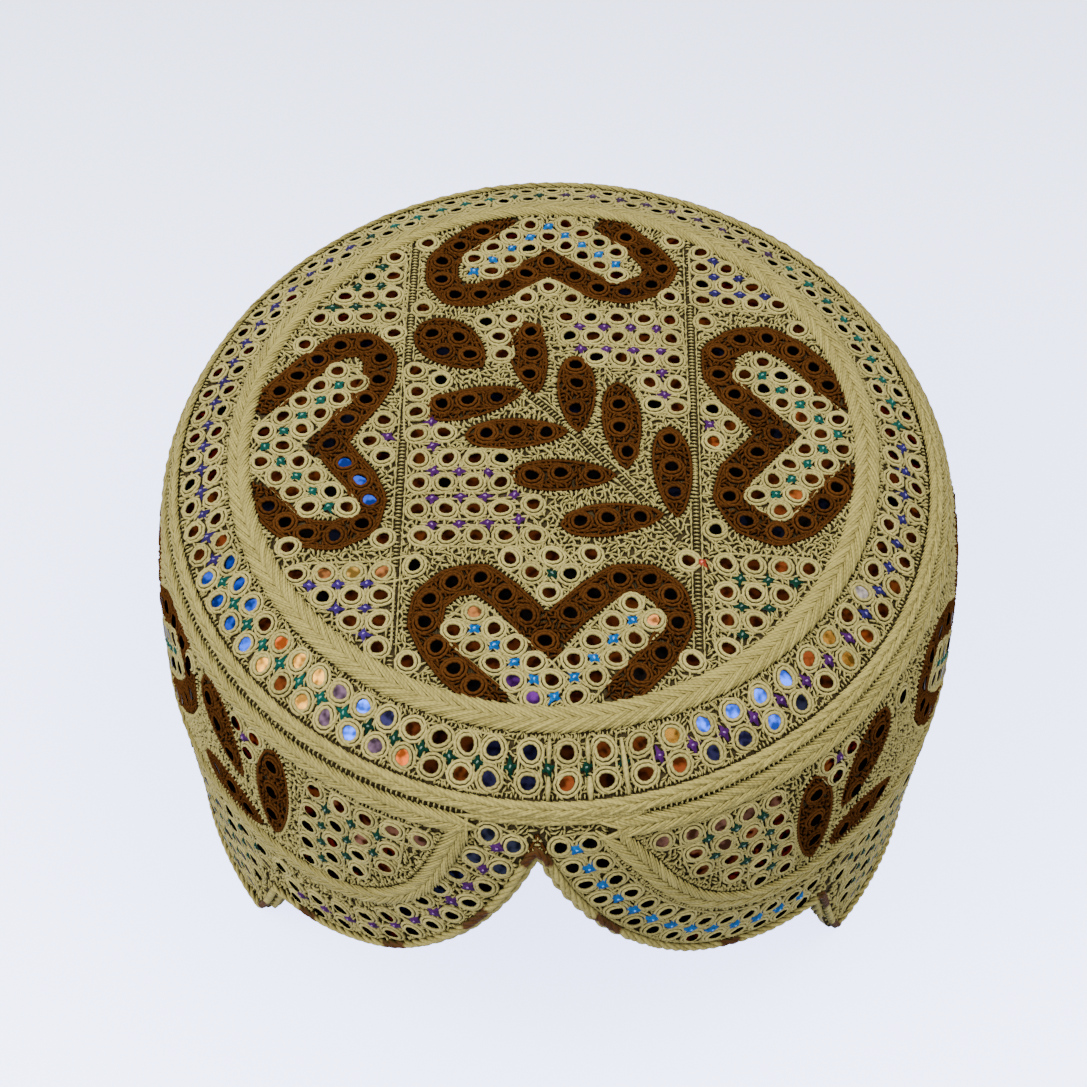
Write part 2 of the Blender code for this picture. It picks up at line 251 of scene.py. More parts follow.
def cloth_object(name, outer, inner, pole):
    """Closed shell between two grids of points, rows by columns round the cap, in metres."""
    builder = bmesh.new()
    sheets = []
    for grid, slot in ((outer, 0), (inner, 1)):
        rings = [[builder.verts.new(point) for point in row] for row in grid]
        for first, second in zip(rings, rings[1:]):
            for k in range(len(first)):
                face = builder.faces.new((first[k - 1], first[k], second[k], second[k - 1]))
                face.material_index = slot
        sheets.append(rings)
    loops = [(sheets[0][-1], sheets[1][-1])]
    if pole:
        for rings, slot in zip(sheets, (0, 1)):
            builder.faces.new(rings[0]).material_index = slot
    else:
        loops.append((sheets[0][0], sheets[1][0]))
    for first, second in loops:
        for k in range(len(first)):
            face = builder.faces.new((first[k - 1], first[k], second[k], second[k - 1]))
            face.material_index = 1
    bmesh.ops.recalc_face_normals(builder, faces=builder.faces[:])
    mesh = bpy.data.meshes.new(name)
    builder.to_mesh(mesh)
    builder.free()
    mesh.shade_smooth()
    mesh.set_sharp_from_angle(angle=radians(50))
    piece = bpy.data.objects.new(name, mesh)
    bpy.context.collection.objects.link(piece)
    return piece


def new_material(name):
    """A material with its node tree and its shader."""
    material = bpy.data.materials.new(name)
    material.use_nodes = True
    return material, material.node_tree, material.node_tree.nodes["Principled BSDF"]


def weave_group():
    """Plain cotton weave: a mask of the gaps between threads and a height for bump."""
    group = bpy.data.node_groups.new("cotton_weave", "ShaderNodeTree")
    group.interface.new_socket("Threads", in_out="INPUT", socket_type="NodeSocketFloat")
    group.interface.new_socket("Height", in_out="OUTPUT", socket_type="NodeSocketFloat")
    nodes, links = group.nodes, group.links
    given = nodes.new("NodeGroupInput")
    result = nodes.new("NodeGroupOutput")
    place = nodes.new("ShaderNodeTexCoord")
    waves = []
    for direction in ("X", "Z"):
        wave = nodes.new("ShaderNodeTexWave")
        wave.bands_direction = direction
        wave.inputs["Distortion"].default_value = 1.2
        wave.inputs["Detail Scale"].default_value = 2.0
        links.new(place.outputs["Object"], wave.inputs["Vector"])
        links.new(given.outputs["Threads"], wave.inputs["Scale"])
        waves.append(wave)
    join = nodes.new("ShaderNodeMath")
    join.operation = "MAXIMUM"
    links.new(waves[0].outputs["Fac"], join.inputs[0])
    links.new(waves[1].outputs["Fac"], join.inputs[1])
    links.new(join.outputs[0], result.inputs["Height"])
    return group


cotton_weave = weave_group()


def cotton_material(name, dark, light, threads):
    """Woven cotton whose gaps are darker than its threads."""
    material, tree, shader = new_material(name)
    weave = tree.nodes.new("ShaderNodeGroup")
    weave.node_tree = cotton_weave
    weave.inputs["Threads"].default_value = threads
    shade = tree.nodes.new("ShaderNodeMix")
    shade.data_type = "RGBA"
    shade.inputs["A"].default_value = (*dark, 1)
    shade.inputs["B"].default_value = (*light, 1)
    tree.links.new(weave.outputs["Height"], shade.inputs["Factor"])
    tree.links.new(shade.outputs["Result"], shader.inputs["Base Color"])
    bump = tree.nodes.new("ShaderNodeBump")
    bump.inputs["Strength"].default_value = 0.5
    bump.inputs["Distance"].default_value = 0.0002
    tree.links.new(weave.outputs["Height"], bump.inputs["Height"])
    tree.links.new(bump.outputs["Normal"], shader.inputs["Normal"])
    shader.inputs["Roughness"].default_value = 0.95
    shader.inputs["Specular IOR Level"].default_value = 0.05
    return material


ground_cotton = cotton_material("ground_cotton", (0.016, 0.011, 0.0042), (0.038, 0.027, 0.0105), 500)
inside_cotton = cotton_material("inside_cotton", (0.20, 0.165, 0.085), (0.34, 0.29, 0.16), 420)

columns = hem_turns()
hem = np.array([hem_height(turn) for turn in columns])
down = np.linspace(0, 1, 22)[:, None]
wall_top = WALL_HEIGHT - 0.15
wall_heights = wall_top + (hem[None, :] - wall_top) * down
outer, normals = on_side(NOTCH_TURN + columns[None, :], up_the_side(wall_heights))
inner = outer - (WALL_CLOTH - PILE) * MM * normals * np.stack(
    [np.ones_like(wall_heights), np.ones_like(wall_heights), wall_heights / WALL_HEIGHT], -1
)
wall_cloth = cloth_object("wall_cloth", outer, inner, False)

turns = np.linspace(0, tau, 120, endpoint=False)[None, :]
shares = np.linspace(0.06, 1, 12)[:, None]
reaches = PLAIT_RADIUS * shares
dome, dome_normals = on_crown(reaches * np.sin(turns), -OVAL * reaches * np.cos(turns))
lengths = np.linspace(SIDE_TOP, SEAM + 0.15, 9)[1:, None]
band, band_normals = on_side(turns, lengths)
outer = np.concatenate([dome, band])
inner = outer - (CROWN_CLOTH - PILE) * MM * np.concatenate([dome_normals, band_normals])
crown_cloth = cloth_object("crown_cloth", outer, inner, True)
for piece, node in ((wall_cloth, "wall"), (crown_cloth, "crown")):
    piece.data.materials.append(ground_cotton)
    piece.data.materials.append(inside_cotton)
    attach(piece, "root")
    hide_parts(node)

# Threads. Every stitch is soft twisted cotton, laid on the cloth as a round strand. Strands are
# made in batches, and each strand has its own slight shade.
dice = np.random.default_rng(20)


class Strands:
    """Gathers batches of round strands and turns them into one object."""

    def __init__(self):
        self.points, self.quads, self.caps = [], [], []
        self.uvs, self.tones, self.dyes = [], [], []
        self.count = 0

    def add(self, points, normals, radius, sides=5, closed=False, flat=1.0, tone=None, dye=(1, 1, 1)):
        """Strands of shape (strands, steps, 3), with radii in metres for each step or for all."""
        strands, steps, _ = points.shape
        if strands == 0:
            return
        ahead = np.roll(points, -1, 1) - np.roll(points, 1, 1)
        if not closed:
            ahead[:, 0] = points[:, 1] - points[:, 0]
            ahead[:, -1] = points[:, -1] - points[:, -2]
        across = np.cross(ahead, normals)
        across /= np.linalg.norm(across, axis=-1, keepdims=True) + 1e-12
        lift = np.cross(across, ahead)
        lift /= np.linalg.norm(lift, axis=-1, keepdims=True) + 1e-12
        radius = np.broadcast_to(np.asarray(radius, float), (strands, steps))[..., None, None]
        turn = 0.75 if sides == 3 else 0.5     # a strand of three sides has a corner on top
        angle = tau * (np.arange(sides) + turn) / sides
        ring = np.cos(angle)[:, None] * across[:, :, None]
        ring = ring + flat * np.sin(angle)[:, None] * lift[:, :, None]
        corners = points[:, :, None] + radius * ring
        base = self.count + (np.arange(strands) * steps * sides)[:, None, None]
        last = steps if closed else steps - 1
        step = np.arange(last)[:, None]
        side = np.arange(sides)[None, :]
        here = base + (step * sides + side)[None]
        beside = base + (step * sides + (side + 1) % sides)[None]
        onward = base + ((step + 1) % steps * sides + side)[None]
        onward_beside = base + ((step + 1) % steps * sides + (side + 1) % sides)[None]
        self.quads.append(np.stack([here, beside, onward_beside, onward], -1).reshape(-1, 4))
        run = np.concatenate([np.zeros((strands, 1)), np.cumsum(
            np.linalg.norm(np.diff(points, axis=1), axis=-1), 1)], 1) / MM
        run = np.concatenate([run, run[:, -1:] + 1], 1)
        along = np.broadcast_to(run[:, :last, None], here.shape)
        beyond = np.broadcast_to(run[:, 1:last + 1, None], here.shape)
        low = np.broadcast_to((side + turn) / sides, here.shape)
        high = low + 1 / sides
        self.uvs.append(np.stack([
            np.stack([along, low], -1), np.stack([along, high], -1),
            np.stack([beyond, high], -1), np.stack([beyond, low], -1),
        ], -2).reshape(-1, 4, 2))
        if not closed:
            start = base[:, 0] + np.arange(sides)[None, ::-1]
            end = base[:, 0] + (steps - 1) * sides + np.arange(sides)[None]
            self.caps.append((sides, np.concatenate([start, end])))
        self.points.append(corners.reshape(-1, 3))
        if tone is None:
            tone = dice.uniform(0, 1, strands)
        tone = np.broadcast_to(np.asarray(tone, float), (strands,))
        self.tones.append(np.repeat(tone, steps * sides))
        dye = np.asarray(dye, float)
        if dye.ndim < 3:
            dye = np.broadcast_to(dye, (strands, 3))[:, None]
        dye = np.broadcast_to(dye, (strands, steps, 3)).reshape(-1, 3)
        self.dyes.append(np.repeat(dye, sides, axis=0))
        self.count += strands * steps * sides

    def finish(self, name, material, slot, node=None):
        """The object itself, riding on the cap."""
        points = np.concatenate(self.points)
        quads = np.concatenate(self.quads)
        loops = [quads.reshape(-1)]
        sizes = [np.full(len(quads), 4)]
        uvs = [np.concatenate(self.uvs).reshape(-1, 2)]
        for sides, caps in self.caps:
            loops.append(caps.reshape(-1))
            sizes.append(np.full(len(caps), sides))
            uvs.append(np.zeros((caps.size, 2)))
        loops = np.concatenate(loops)
        sizes = np.concatenate(sizes)
        mesh = bpy.data.meshes.new(name)
        mesh.vertices.add(len(points))
        mesh.vertices.foreach_set("co", points.astype(np.float32).ravel())
        mesh.loops.add(len(loops))
        mesh.loops.foreach_set("vertex_index", loops.astype(np.int32))
        mesh.polygons.add(len(sizes))
        starts = np.concatenate([[0], np.cumsum(sizes)[:-1]])
        mesh.polygons.foreach_set("loop_start", starts.astype(np.int32))
        mesh.polygons.foreach_set("loop_total", sizes.astype(np.int32))
        mesh.polygons.foreach_set("use_smooth", np.ones(len(sizes), bool))
        layer = mesh.uv_layers.new(name="strand")
        layer.data.foreach_set("uv", np.concatenate(uvs).astype(np.float32).ravel())
        tone = mesh.attributes.new("tone", "FLOAT", "POINT")
        tone.data.foreach_set("value", np.concatenate(self.tones).astype(np.float32))
        dye = mesh.attributes.new("dye", "FLOAT_COLOR", "POINT")
        dyes = np.concatenate(self.dyes)
        dye.data.foreach_set("color", np.c_[dyes, np.ones(len(dyes))].astype(np.float32).ravel())
        mesh.update()
        mesh.validate()
        mesh.materials.append(material)
        piece = bpy.data.objects.new(name, mesh)
        bpy.context.collection.objects.link(piece)
        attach(piece, "root")
        if node:
            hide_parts(node)
        return piece


def twist_group():
    """Twist along a strand: a height for bump, a painted shade by ply that darkens the grooves between
    plies, mixed with random fuzz, and a painted shade that is lightest on the strand's crest and falls off
    down its sides.
    """
    group = bpy.data.node_groups.new("thread_twist", "ShaderNodeTree")
    for name in ("Plies", "Slant"):
        group.interface.new_socket(name, in_out="INPUT", socket_type="NodeSocketFloat")
    for name in ("Height", "Shade", "PaintedCrestShade"):
        group.interface.new_socket(name, in_out="OUTPUT", socket_type="NodeSocketFloat")
    nodes, links = group.nodes, group.links
    given = nodes.new("NodeGroupInput")
    result = nodes.new("NodeGroupOutput")
    strand = nodes.new("ShaderNodeUVMap")
    strand.uv_map = "strand"
    split = nodes.new("ShaderNodeSeparateXYZ")
    links.new(strand.outputs["UV"], split.inputs[0])
    around = nodes.new("ShaderNodeMath")
    around.operation = "MULTIPLY"
    links.new(split.outputs["Y"], around.inputs[0])
    links.new(given.outputs["Plies"], around.inputs[1])
    slanted = nodes.new("ShaderNodeMath")
    slanted.operation = "MULTIPLY_ADD"
    links.new(split.outputs["X"], slanted.inputs[0])
    links.new(given.outputs["Slant"], slanted.inputs[1])
    links.new(around.outputs[0], slanted.inputs[2])
    turned = nodes.new("ShaderNodeMath")
    turned.operation = "MULTIPLY"
    turned.inputs[1].default_value = tau
    links.new(slanted.outputs[0], turned.inputs[0])
    wave = nodes.new("ShaderNodeMath")
    wave.operation = "SINE"
    links.new(turned.outputs[0], wave.inputs[0])
    level = nodes.new("ShaderNodeMapRange")
    level.inputs["From Min"].default_value = -1
    links.new(wave.outputs[0], level.inputs["Value"])
    links.new(level.outputs["Result"], result.inputs["Height"])
    fuzz = nodes.new("ShaderNodeTexNoise")
    fuzz.inputs["Scale"].default_value = 900
    fuzz.inputs["Detail"].default_value = 3
    place = nodes.new("ShaderNodeTexCoord")
    links.new(place.outputs["Object"], fuzz.inputs["Vector"])
    # How near the strand's crest, for the painted shade down its sides
    lean = nodes.new("ShaderNodeMath")
    lean.operation = "MULTIPLY_ADD"
    lean.inputs[1].default_value = tau
    lean.inputs[2].default_value = -pi / 2
    links.new(split.outputs["Y"], lean.inputs[0])
    top = nodes.new("ShaderNodeMath")
    top.operation = "COSINE"
    links.new(lean.outputs[0], top.inputs[0])
    crest = nodes.new("ShaderNodeMapRange")
    crest.inputs["From Min"].default_value = -0.6
    crest.inputs["From Max"].default_value = 0.85
    links.new(top.outputs[0], crest.inputs["Value"])
    links.new(crest.outputs["Result"], result.inputs["PaintedCrestShade"])
    # Painted shade in the grooves between plies, mixed with random fuzz
    shade = nodes.new("ShaderNodeMath")
    shade.operation = "MULTIPLY_ADD"
    shade.inputs[1].default_value = 0.35
    links.new(level.outputs["Result"], shade.inputs[0])
    fuzzed = nodes.new("ShaderNodeMath")
    fuzzed.operation = "MULTIPLY"
    fuzzed.inputs[1].default_value = 0.65
    links.new(fuzz.outputs["Fac"], fuzzed.inputs[0])
    links.new(fuzzed.outputs[0], shade.inputs[2])
    links.new(shade.outputs[0], result.inputs["Shade"])
    return group


thread_twist = twist_group()


def thread_material(name, deep, pale, gloss, plies=2.0, slant=0.9):
    """Soft thread between a deep and a pale shade, by strand and by ply, the ply grooves darkened as
    painted shade, and the strand's sides darkened further as painted shade.
    """
    material, tree, shader = new_material(name)
    twist = tree.nodes.new("ShaderNodeGroup")
    twist.node_tree = thread_twist
    twist.inputs["Plies"].default_value = plies
    twist.inputs["Slant"].default_value = slant
    tone = tree.nodes.new("ShaderNodeAttribute")
    tone.attribute_name = "tone"
    blend = tree.nodes.new("ShaderNodeMath")
    blend.operation = "MULTIPLY_ADD"
    blend.inputs[1].default_value = 0.45
    tree.links.new(tone.outputs["Fac"], blend.inputs[0])
    tree.links.new(twist.outputs["Shade"], blend.inputs[2])
    shade = tree.nodes.new("ShaderNodeMix")
    shade.data_type = "RGBA"
    shade.inputs["A"].default_value = (*deep, 1)
    shade.inputs["B"].default_value = (*pale, 1)
    tree.links.new(blend.outputs[0], shade.inputs["Factor"])
    dye = tree.nodes.new("ShaderNodeAttribute")
    dye.attribute_name = "dye"
    tint = tree.nodes.new("ShaderNodeMix")
    tint.data_type = "RGBA"
    tint.blend_type = "MULTIPLY"
    tint.inputs["Factor"].default_value = 1
    tree.links.new(shade.outputs["Result"], tint.inputs["A"])
    tree.links.new(dye.outputs["Color"], tint.inputs["B"])
    # Painted shade: the strand's sides and underside darken towards a third of the deep shade, its crest
    # keeps the full colour
    painted_groove_shade = tree.nodes.new("ShaderNodeMix")
    painted_groove_shade.data_type = "RGBA"
    painted_groove_shade.inputs["A"].default_value = (*[0.30 * value for value in deep], 1)
    tree.links.new(twist.outputs["PaintedCrestShade"], painted_groove_shade.inputs["Factor"])
    tree.links.new(tint.outputs["Result"], painted_groove_shade.inputs["B"])
    tree.links.new(painted_groove_shade.outputs["Result"], shader.inputs["Base Color"])
    bump = tree.nodes.new("ShaderNodeBump")
    bump.inputs["Strength"].default_value = 0.35
    bump.inputs["Distance"].default_value = 0.00012
    tree.links.new(twist.outputs["Height"], bump.inputs["Height"])
    tree.links.new(bump.outputs["Normal"], shader.inputs["Normal"])
    shader.inputs["Roughness"].default_value = 0.62
    shader.inputs["Specular IOR Level"].default_value = gloss
    return material


cream_thread = thread_material("cream_thread", (0.125, 0.100, 0.027), (0.290, 0.242, 0.076), 0.08)
brown_thread = thread_material("brown_thread", (0.0135, 0.0046, 0.0012), (0.056, 0.0196, 0.0045), 0.0)
dyed_thread = thread_material("dyed_thread", (0.16, 0.16, 0.16), (0.55, 0.55, 0.55), 0.03)


def laid(chart, local, lift):
    """Places local millimetre paths (strands, steps, 2) at charted centres, lifted off the cloth.

    A chart is ("crown", x, y) or ("side", x, y), each an array. On the side, x runs round the cap
    from the front, ARC millimetres to the radian, and y runs up the cloth from the hem.
    """
    surface, first, second = chart
    first = np.asarray(first, float)[:, None]
    second = np.asarray(second, float)[:, None]
    if surface == "crown":
        points, normals = on_crown(first + local[..., 0], second + local[..., 1])
    else:
        radius = np.interp(second, side_length, side_radius)
        azimuth = first / ARC
        pace = radius * np.hypot(np.cos(azimuth), OVAL * np.sin(azimuth))
        points, normals = on_side(azimuth + local[..., 0] / pace, second + local[..., 1])
    return points + np.asarray(lift)[..., None] * MM * normals, normals


# Mirrors and their coils. Each mirror is a small disc of silvered glass, held by two turns of
# thread wound round its edge and stitched down.
MIRROR_RADIUS = 1.75
DISC_SIDES = 10
COIL_TURNS = 2.08
COIL_THREAD = 0.41
COIL_SQUASH = 0.07
glass_material, glass_tree, glass_shader = new_material("mirror_glass")
glass_tint = glass_tree.nodes.new("ShaderNodeAttribute")
glass_tint.attribute_name = "dye"
glass_place = glass_tree.nodes.new("ShaderNodeTexCoord")
glass_clouds = glass_tree.nodes.new("ShaderNodeTexNoise")
glass_clouds.inputs["Scale"].default_value = 520
glass_clouds.inputs["Detail"].default_value = 1
glass_tree.links.new(glass_place.outputs["Object"], glass_clouds.inputs["Vector"])
glass_depth = glass_tree.nodes.new("ShaderNodeMapRange")
glass_depth.inputs["From Min"].default_value = 0.40
glass_depth.inputs["From Max"].default_value = 0.62
glass_depth.inputs["To Min"].default_value = 0.35
glass_depth.inputs["To Max"].default_value = 1.6
glass_tree.links.new(glass_clouds.outputs["Fac"], glass_depth.inputs["Value"])
glass_mix = glass_tree.nodes.new("ShaderNodeVectorMath")
glass_mix.operation = "SCALE"
glass_tree.links.new(glass_tint.outputs["Color"], glass_mix.inputs[0])
glass_tree.links.new(glass_depth.outputs["Result"], glass_mix.inputs["Scale"])
glass_tree.links.new(glass_mix.outputs[0], glass_shader.inputs["Base Color"])
glass_shader.inputs["Metallic"].default_value = 1.0
glass_shader.inputs["Roughness"].default_value = 0.16
glass_shader.inputs["Specular Tint"].default_value = (0.06, 0.035, 0.03, 1)

RED_GLASS = (0.032, 0.0072, 0.0018)
AMBER_GLASS = (0.044, 0.0110, 0.0023)
INK_GLASS = (0.0028, 0.0030, 0.0060)
NAVY_GLASS = (0.0042, 0.0040, 0.0120)
BLACK_GLASS = (0.0016, 0.0012, 0.0011)


def add_coils(strands, chart, size=1.0, steps=26, sides=5):
    """Winds one coil of thread round each charted centre."""
    count = len(chart[1])
    size = np.broadcast_to(size, (count,))[:, None]
    share = np.linspace(0, 1, steps)[None, :]
    start = dice.uniform(0, tau, (count, 1))
    angle = start + share * COIL_TURNS * tau
    step = np.clip((share * COIL_TURNS - 0.94) / 0.2, 0, 1)
    radius = size * (1.79 + 0.78 * step ** 2 * (3 - 2 * step))
    nibble = 0.05 * np.sin(2 * angle + dice.uniform(0, tau, (count, 1)))
    nibble = nibble + 0.04 * np.sin(3 * angle + dice.uniform(0, tau, (count, 1)))
    radius = radius * (1 + nibble * (1.2 - share))
    stretch = 1 + dice.uniform(-COIL_SQUASH, COIL_SQUASH, (count, 1))
    lean = dice.uniform(0, pi, (count, 1))
    wide, tall = radius * stretch * np.cos(angle), radius / stretch * np.sin(angle)
    local = np.stack([
        wide * np.cos(lean) - tall * np.sin(lean), wide * np.sin(lean) + tall * np.cos(lean),
    ], -1)
    lift = 0.68 - 0.28 * step
    thickness = COIL_THREAD * MM * (0.94 + 0.12 * dice.uniform(0, 1, (count, 1))) * np.ones((1, steps))
    thickness[:, 0] *= 0.6
    thickness[:, -1] *= 0.5
    points, normals = laid(chart, local, lift)
    strands.add(points, normals, thickness, sides=sides, flat=1.1)


def add_mirrors(discs, chart, tints, size, rise):
    """Lays one flat, slightly tilted disc at each charted centre."""
    count = len(chart[1])
    angle = tau * np.arange(DISC_SIDES) / DISC_SIDES
    ring = np.stack([np.cos(angle), np.sin(angle)], -1)[None]
    local = ring * MIRROR_RADIUS * np.broadcast_to(size, (count,))[:, None, None]
    tilt = dice.normal(0, 0.06, (count, 2))
    height = np.broadcast_to(rise, (count,))[:, None] + (local * tilt[:, None]).sum(-1)
    points, normals = laid(chart, local, height)
    discs["points"].append(np.stack([points, points - 0.4 * MM * normals], 1))
    discs["tints"].append(np.broadcast_to(np.asarray(tints, float), (count, 3)))


def finish_mirrors(discs, name):
    """One object of all the gathered discs, each a closed thin slug of glass."""
    builder = bmesh.new()
    layer = builder.verts.layers.float_color.new("dye")
    for rings, tint in zip(np.concatenate(discs["points"]), np.concatenate(discs["tints"])):
        top, bottom = [[builder.verts.new(point) for point in ring] for ring in rings]
        for vert in top + bottom:
            vert[layer] = (*tint, 1)
        builder.faces.new(top)
        builder.faces.new(bottom[::-1])
        for k in range(DISC_SIDES):
            builder.faces.new((top[k - 1], bottom[k - 1], bottom[k], top[k]))
    mesh = bpy.data.meshes.new(name)
    builder.to_mesh(mesh)
    builder.free()
    mesh.materials.append(glass_material)
    piece = bpy.data.objects.new(name, mesh)
    bpy.context.collection.objects.link(piece)
    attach(piece, "root")
    return piece


def red_tints(count):
    """Most mirrors look dark red, some amber and a few nearly black."""
    pick = dice.uniform(0, 1, count)[:, None]
    tints = np.where(pick < 0.2, AMBER_GLASS, RED_GLASS)
    tints = np.where(pick > 0.9, BLACK_GLASS, tints)
    return tints * dice.uniform(0.6, 1.4, (count, 1))


# Knots. Between the mirrors sit small stars of dyed thread: short legs from a raised middle, under a paler
# stitch that is a painted highlight.
PURPLE = (0.075, 0.010, 0.115)
NAVY = (0.022, 0.014, 0.120)
TEAL = (0.001, 0.095, 0.066)
GREEN = (0.001, 0.036, 0.018)
BLUE = (0.004, 0.130, 0.420)


def add_knots(strands, chart, dyes, turns, size=1.0):
    """Ties one small cross at each charted centre, with a paler stitch on top as a painted highlight."""
    count = len(chart[1])
    size = np.broadcast_to(size, (count,))[:, None]
    dyes = np.broadcast_to(np.asarray(dyes, float), (count, 3))
    share = np.array([-1, -0.42, 0, 0.42, 1])[None, :]
    for leg in (0, 1):
        angle = turns + pi / 2 * leg + dice.normal(0, 0.10, count)
        reach = size * dice.uniform(1.75, 2.15, count)[:, None] * share
        local = np.stack([reach * np.cos(angle)[:, None], reach * np.sin(angle)[:, None]], -1)
        lift = np.broadcast_to(0.22 + 0.10 * leg + (1 - share ** 2) * 0.28, (count, 5))
        points, normals = laid(chart, local, lift)
        thickness = size * MM * np.array([0.12, 0.50, 0.88, 0.50, 0.12]) * np.ones((count, 1))
        strands.add(points, normals, thickness, sides=4, flat=0.7, dye=dyes)
    # Top stitch in a paler dye at full tone: a painted highlight on the knot's middle
    reach = size * np.array([-0.45, 0, 0.45])[None, :]
    angle = turns + dice.uniform(0, pi, count)
    local = np.stack([reach * np.cos(angle)[:, None], reach * np.sin(angle)[:, None]], -1)
    points, normals = laid(chart, local, np.broadcast_to([0.82, 1.02, 0.82], (count, 3)))
    thickness = size * MM * np.array([0.10, 0.27, 0.10]) * np.ones((count, 1))
    strands.add(points, normals, thickness, sides=4, tone=1.0, dye=dyes * 2.4 + 0.16)


# Seed stitches. Short loose stitches fill the cloth between the motifs, and rows of tiny
# upright stitches run along each motif, seam and plait.
def add_seeds(strands, chart, angles, length=1.5, radius=0.27, lift=0.34, bend=0.0, sides=3):
    """Sews one short stitch at each charted centre."""
    count = len(chart[1])
    if count == 0:
        return
    share = np.array([-0.5, 0, 0.5])[None, :]
    reach = share * np.broadcast_to(length, (count,))[:, None]
    curl = bend * dice.uniform(-1, 1, (count, 1)) * (0.25 - share ** 2) * 4
    local = np.stack([
        reach * np.cos(angles)[:, None] - curl * np.sin(angles)[:, None],
        reach * np.sin(angles)[:, None] + curl * np.cos(angles)[:, None],
    ], -1)
    height = lift + radius * 0.5 - radius * 2.2 * share ** 2
    points, normals = laid(chart, local, np.broadcast_to(height, (count, 3)))
    thickness = radius * MM * np.array([0.62, 1.08, 0.62]) * dice.uniform(0.85, 1.15, (count, 1))
    strands.add(points, normals, thickness, sides=sides)


def walk(points, pitch):
    """Even steps along a line: places and headings."""
    points = np.asarray(points, float)
    steps = np.hypot(*np.diff(points, axis=0).T)
    run = np.concatenate([[0], np.cumsum(steps)])
    count = max(2, int(round(run[-1] / pitch)))
    places = np.linspace(0, run[-1], count + 1)[:-1] + run[-1] / count / 2
    x = np.interp(places, run, points[:, 0])
    y = np.interp(places, run, points[:, 1])
    ahead = 0.3 * pitch
    dx = np.interp(places + ahead, run, points[:, 0]) - np.interp(places - ahead, run, points[:, 0])
    dy = np.interp(places + ahead, run, points[:, 1]) - np.interp(places - ahead, run, points[:, 1])
    return x, y, np.arctan2(dy, dx)


# Motifs. A heart is a brown band of mirrors bent into two lobes, with a V of knots between rows
# of cream coils inside it, and a leaf is a pointed brown patch with two or three mirrors.
HEART_HALF_BAND = 3.5
LEAF_HALF_WIDTH = 4.0

motifs = {
    surface: {"cream": [], "brown": [], "knots": [], "bands": [], "lines": []}
    for surface in ("crown", "side")
}


def put(surface, kind, places, tints=None):
    """Notes coils or knots at a list of places, with a colour for each mirror or knot."""
    for k, place in enumerate(places):
        tint = tints[k] if isinstance(tints, list) else tints
        motifs[surface][kind].append((place[0], place[1], tint))


def add_heart(surface, cleft, arms, apex, ends, dye, keep):
    """Heart from the brown mirrors of its two arms, and an inner V of knots between cream coils.

    The V starts from its apex and has five knots a side, up to its two ends.
    """
    cleft, apex = np.array(cleft, float), np.array(apex, float)
    put(surface, "brown", [cleft] + [place for arm in arms for place in arm])
    for arm in arms:
        last = np.array(arm[-1]) + 0.8 * (np.array(arm[-1]) - np.array(arm[-2]))
        curve = np.vstack([cleft, arm, last])
        motifs[surface]["bands"].append((curve, HEART_HALF_BAND))
    inward = (cleft - apex) / np.hypot(*(cleft - apex))
    motifs[surface]["bands"].append((np.array([cleft, cleft - 1.3 * inward]), HEART_HALF_BAND))
    knots, coils = [apex], [apex + 3.9 * inward]
    for end in ends:
        step = (np.array(end, float) - apex) / 4
        across = np.array([-step[1], step[0]]) / np.hypot(*step)
        across *= 1 if across @ inward > 0 else -1
        knots += [apex + step * k for k in range(1, 5)]
        coils += [apex + step * (k + 0.5) + 2.8 * across for k in range(1, 5)]
        coils += [apex + step * (k + 0.5) - 3.2 * across for k in range(5)]
    brown = np.array([row[:2] for row in motifs[surface]["brown"]])
    coils = [place for place in coils if keep(place) and np.hypot(*(brown - place).T).min() > 4.9]
    put(surface, "cream", coils)
    put(surface, "knots", [place for place in knots if keep(place)], dye)


def inside_crown(place):
    return crown_reach(*place) < 65.3


def add_leaf(surface, start, tip, mirrors, half_width=LEAF_HALF_WIDTH):
    """Pointed brown leaf from its rounded start to its tip, with mirrors at given places."""
    start, tip = np.array(start, float), np.array(tip, float)
    length = np.hypot(*(tip - start))
    ahead = (tip - start) / length
    across = np.array([-ahead[1], ahead[0]])
    share = np.linspace(0, 1, 17)
    half = half_width * np.sin(pi * share ** 0.8) ** 0.62
    edge = [start + ahead * length * s + across * h for s, h in zip(share, half)]
    other = [start + ahead * length * s - across * h for s, h in zip(share, half)]
    motifs[surface]["lines"].append(np.array(edge + other[-2:0:-1]))
    put(surface, "brown", mirrors)


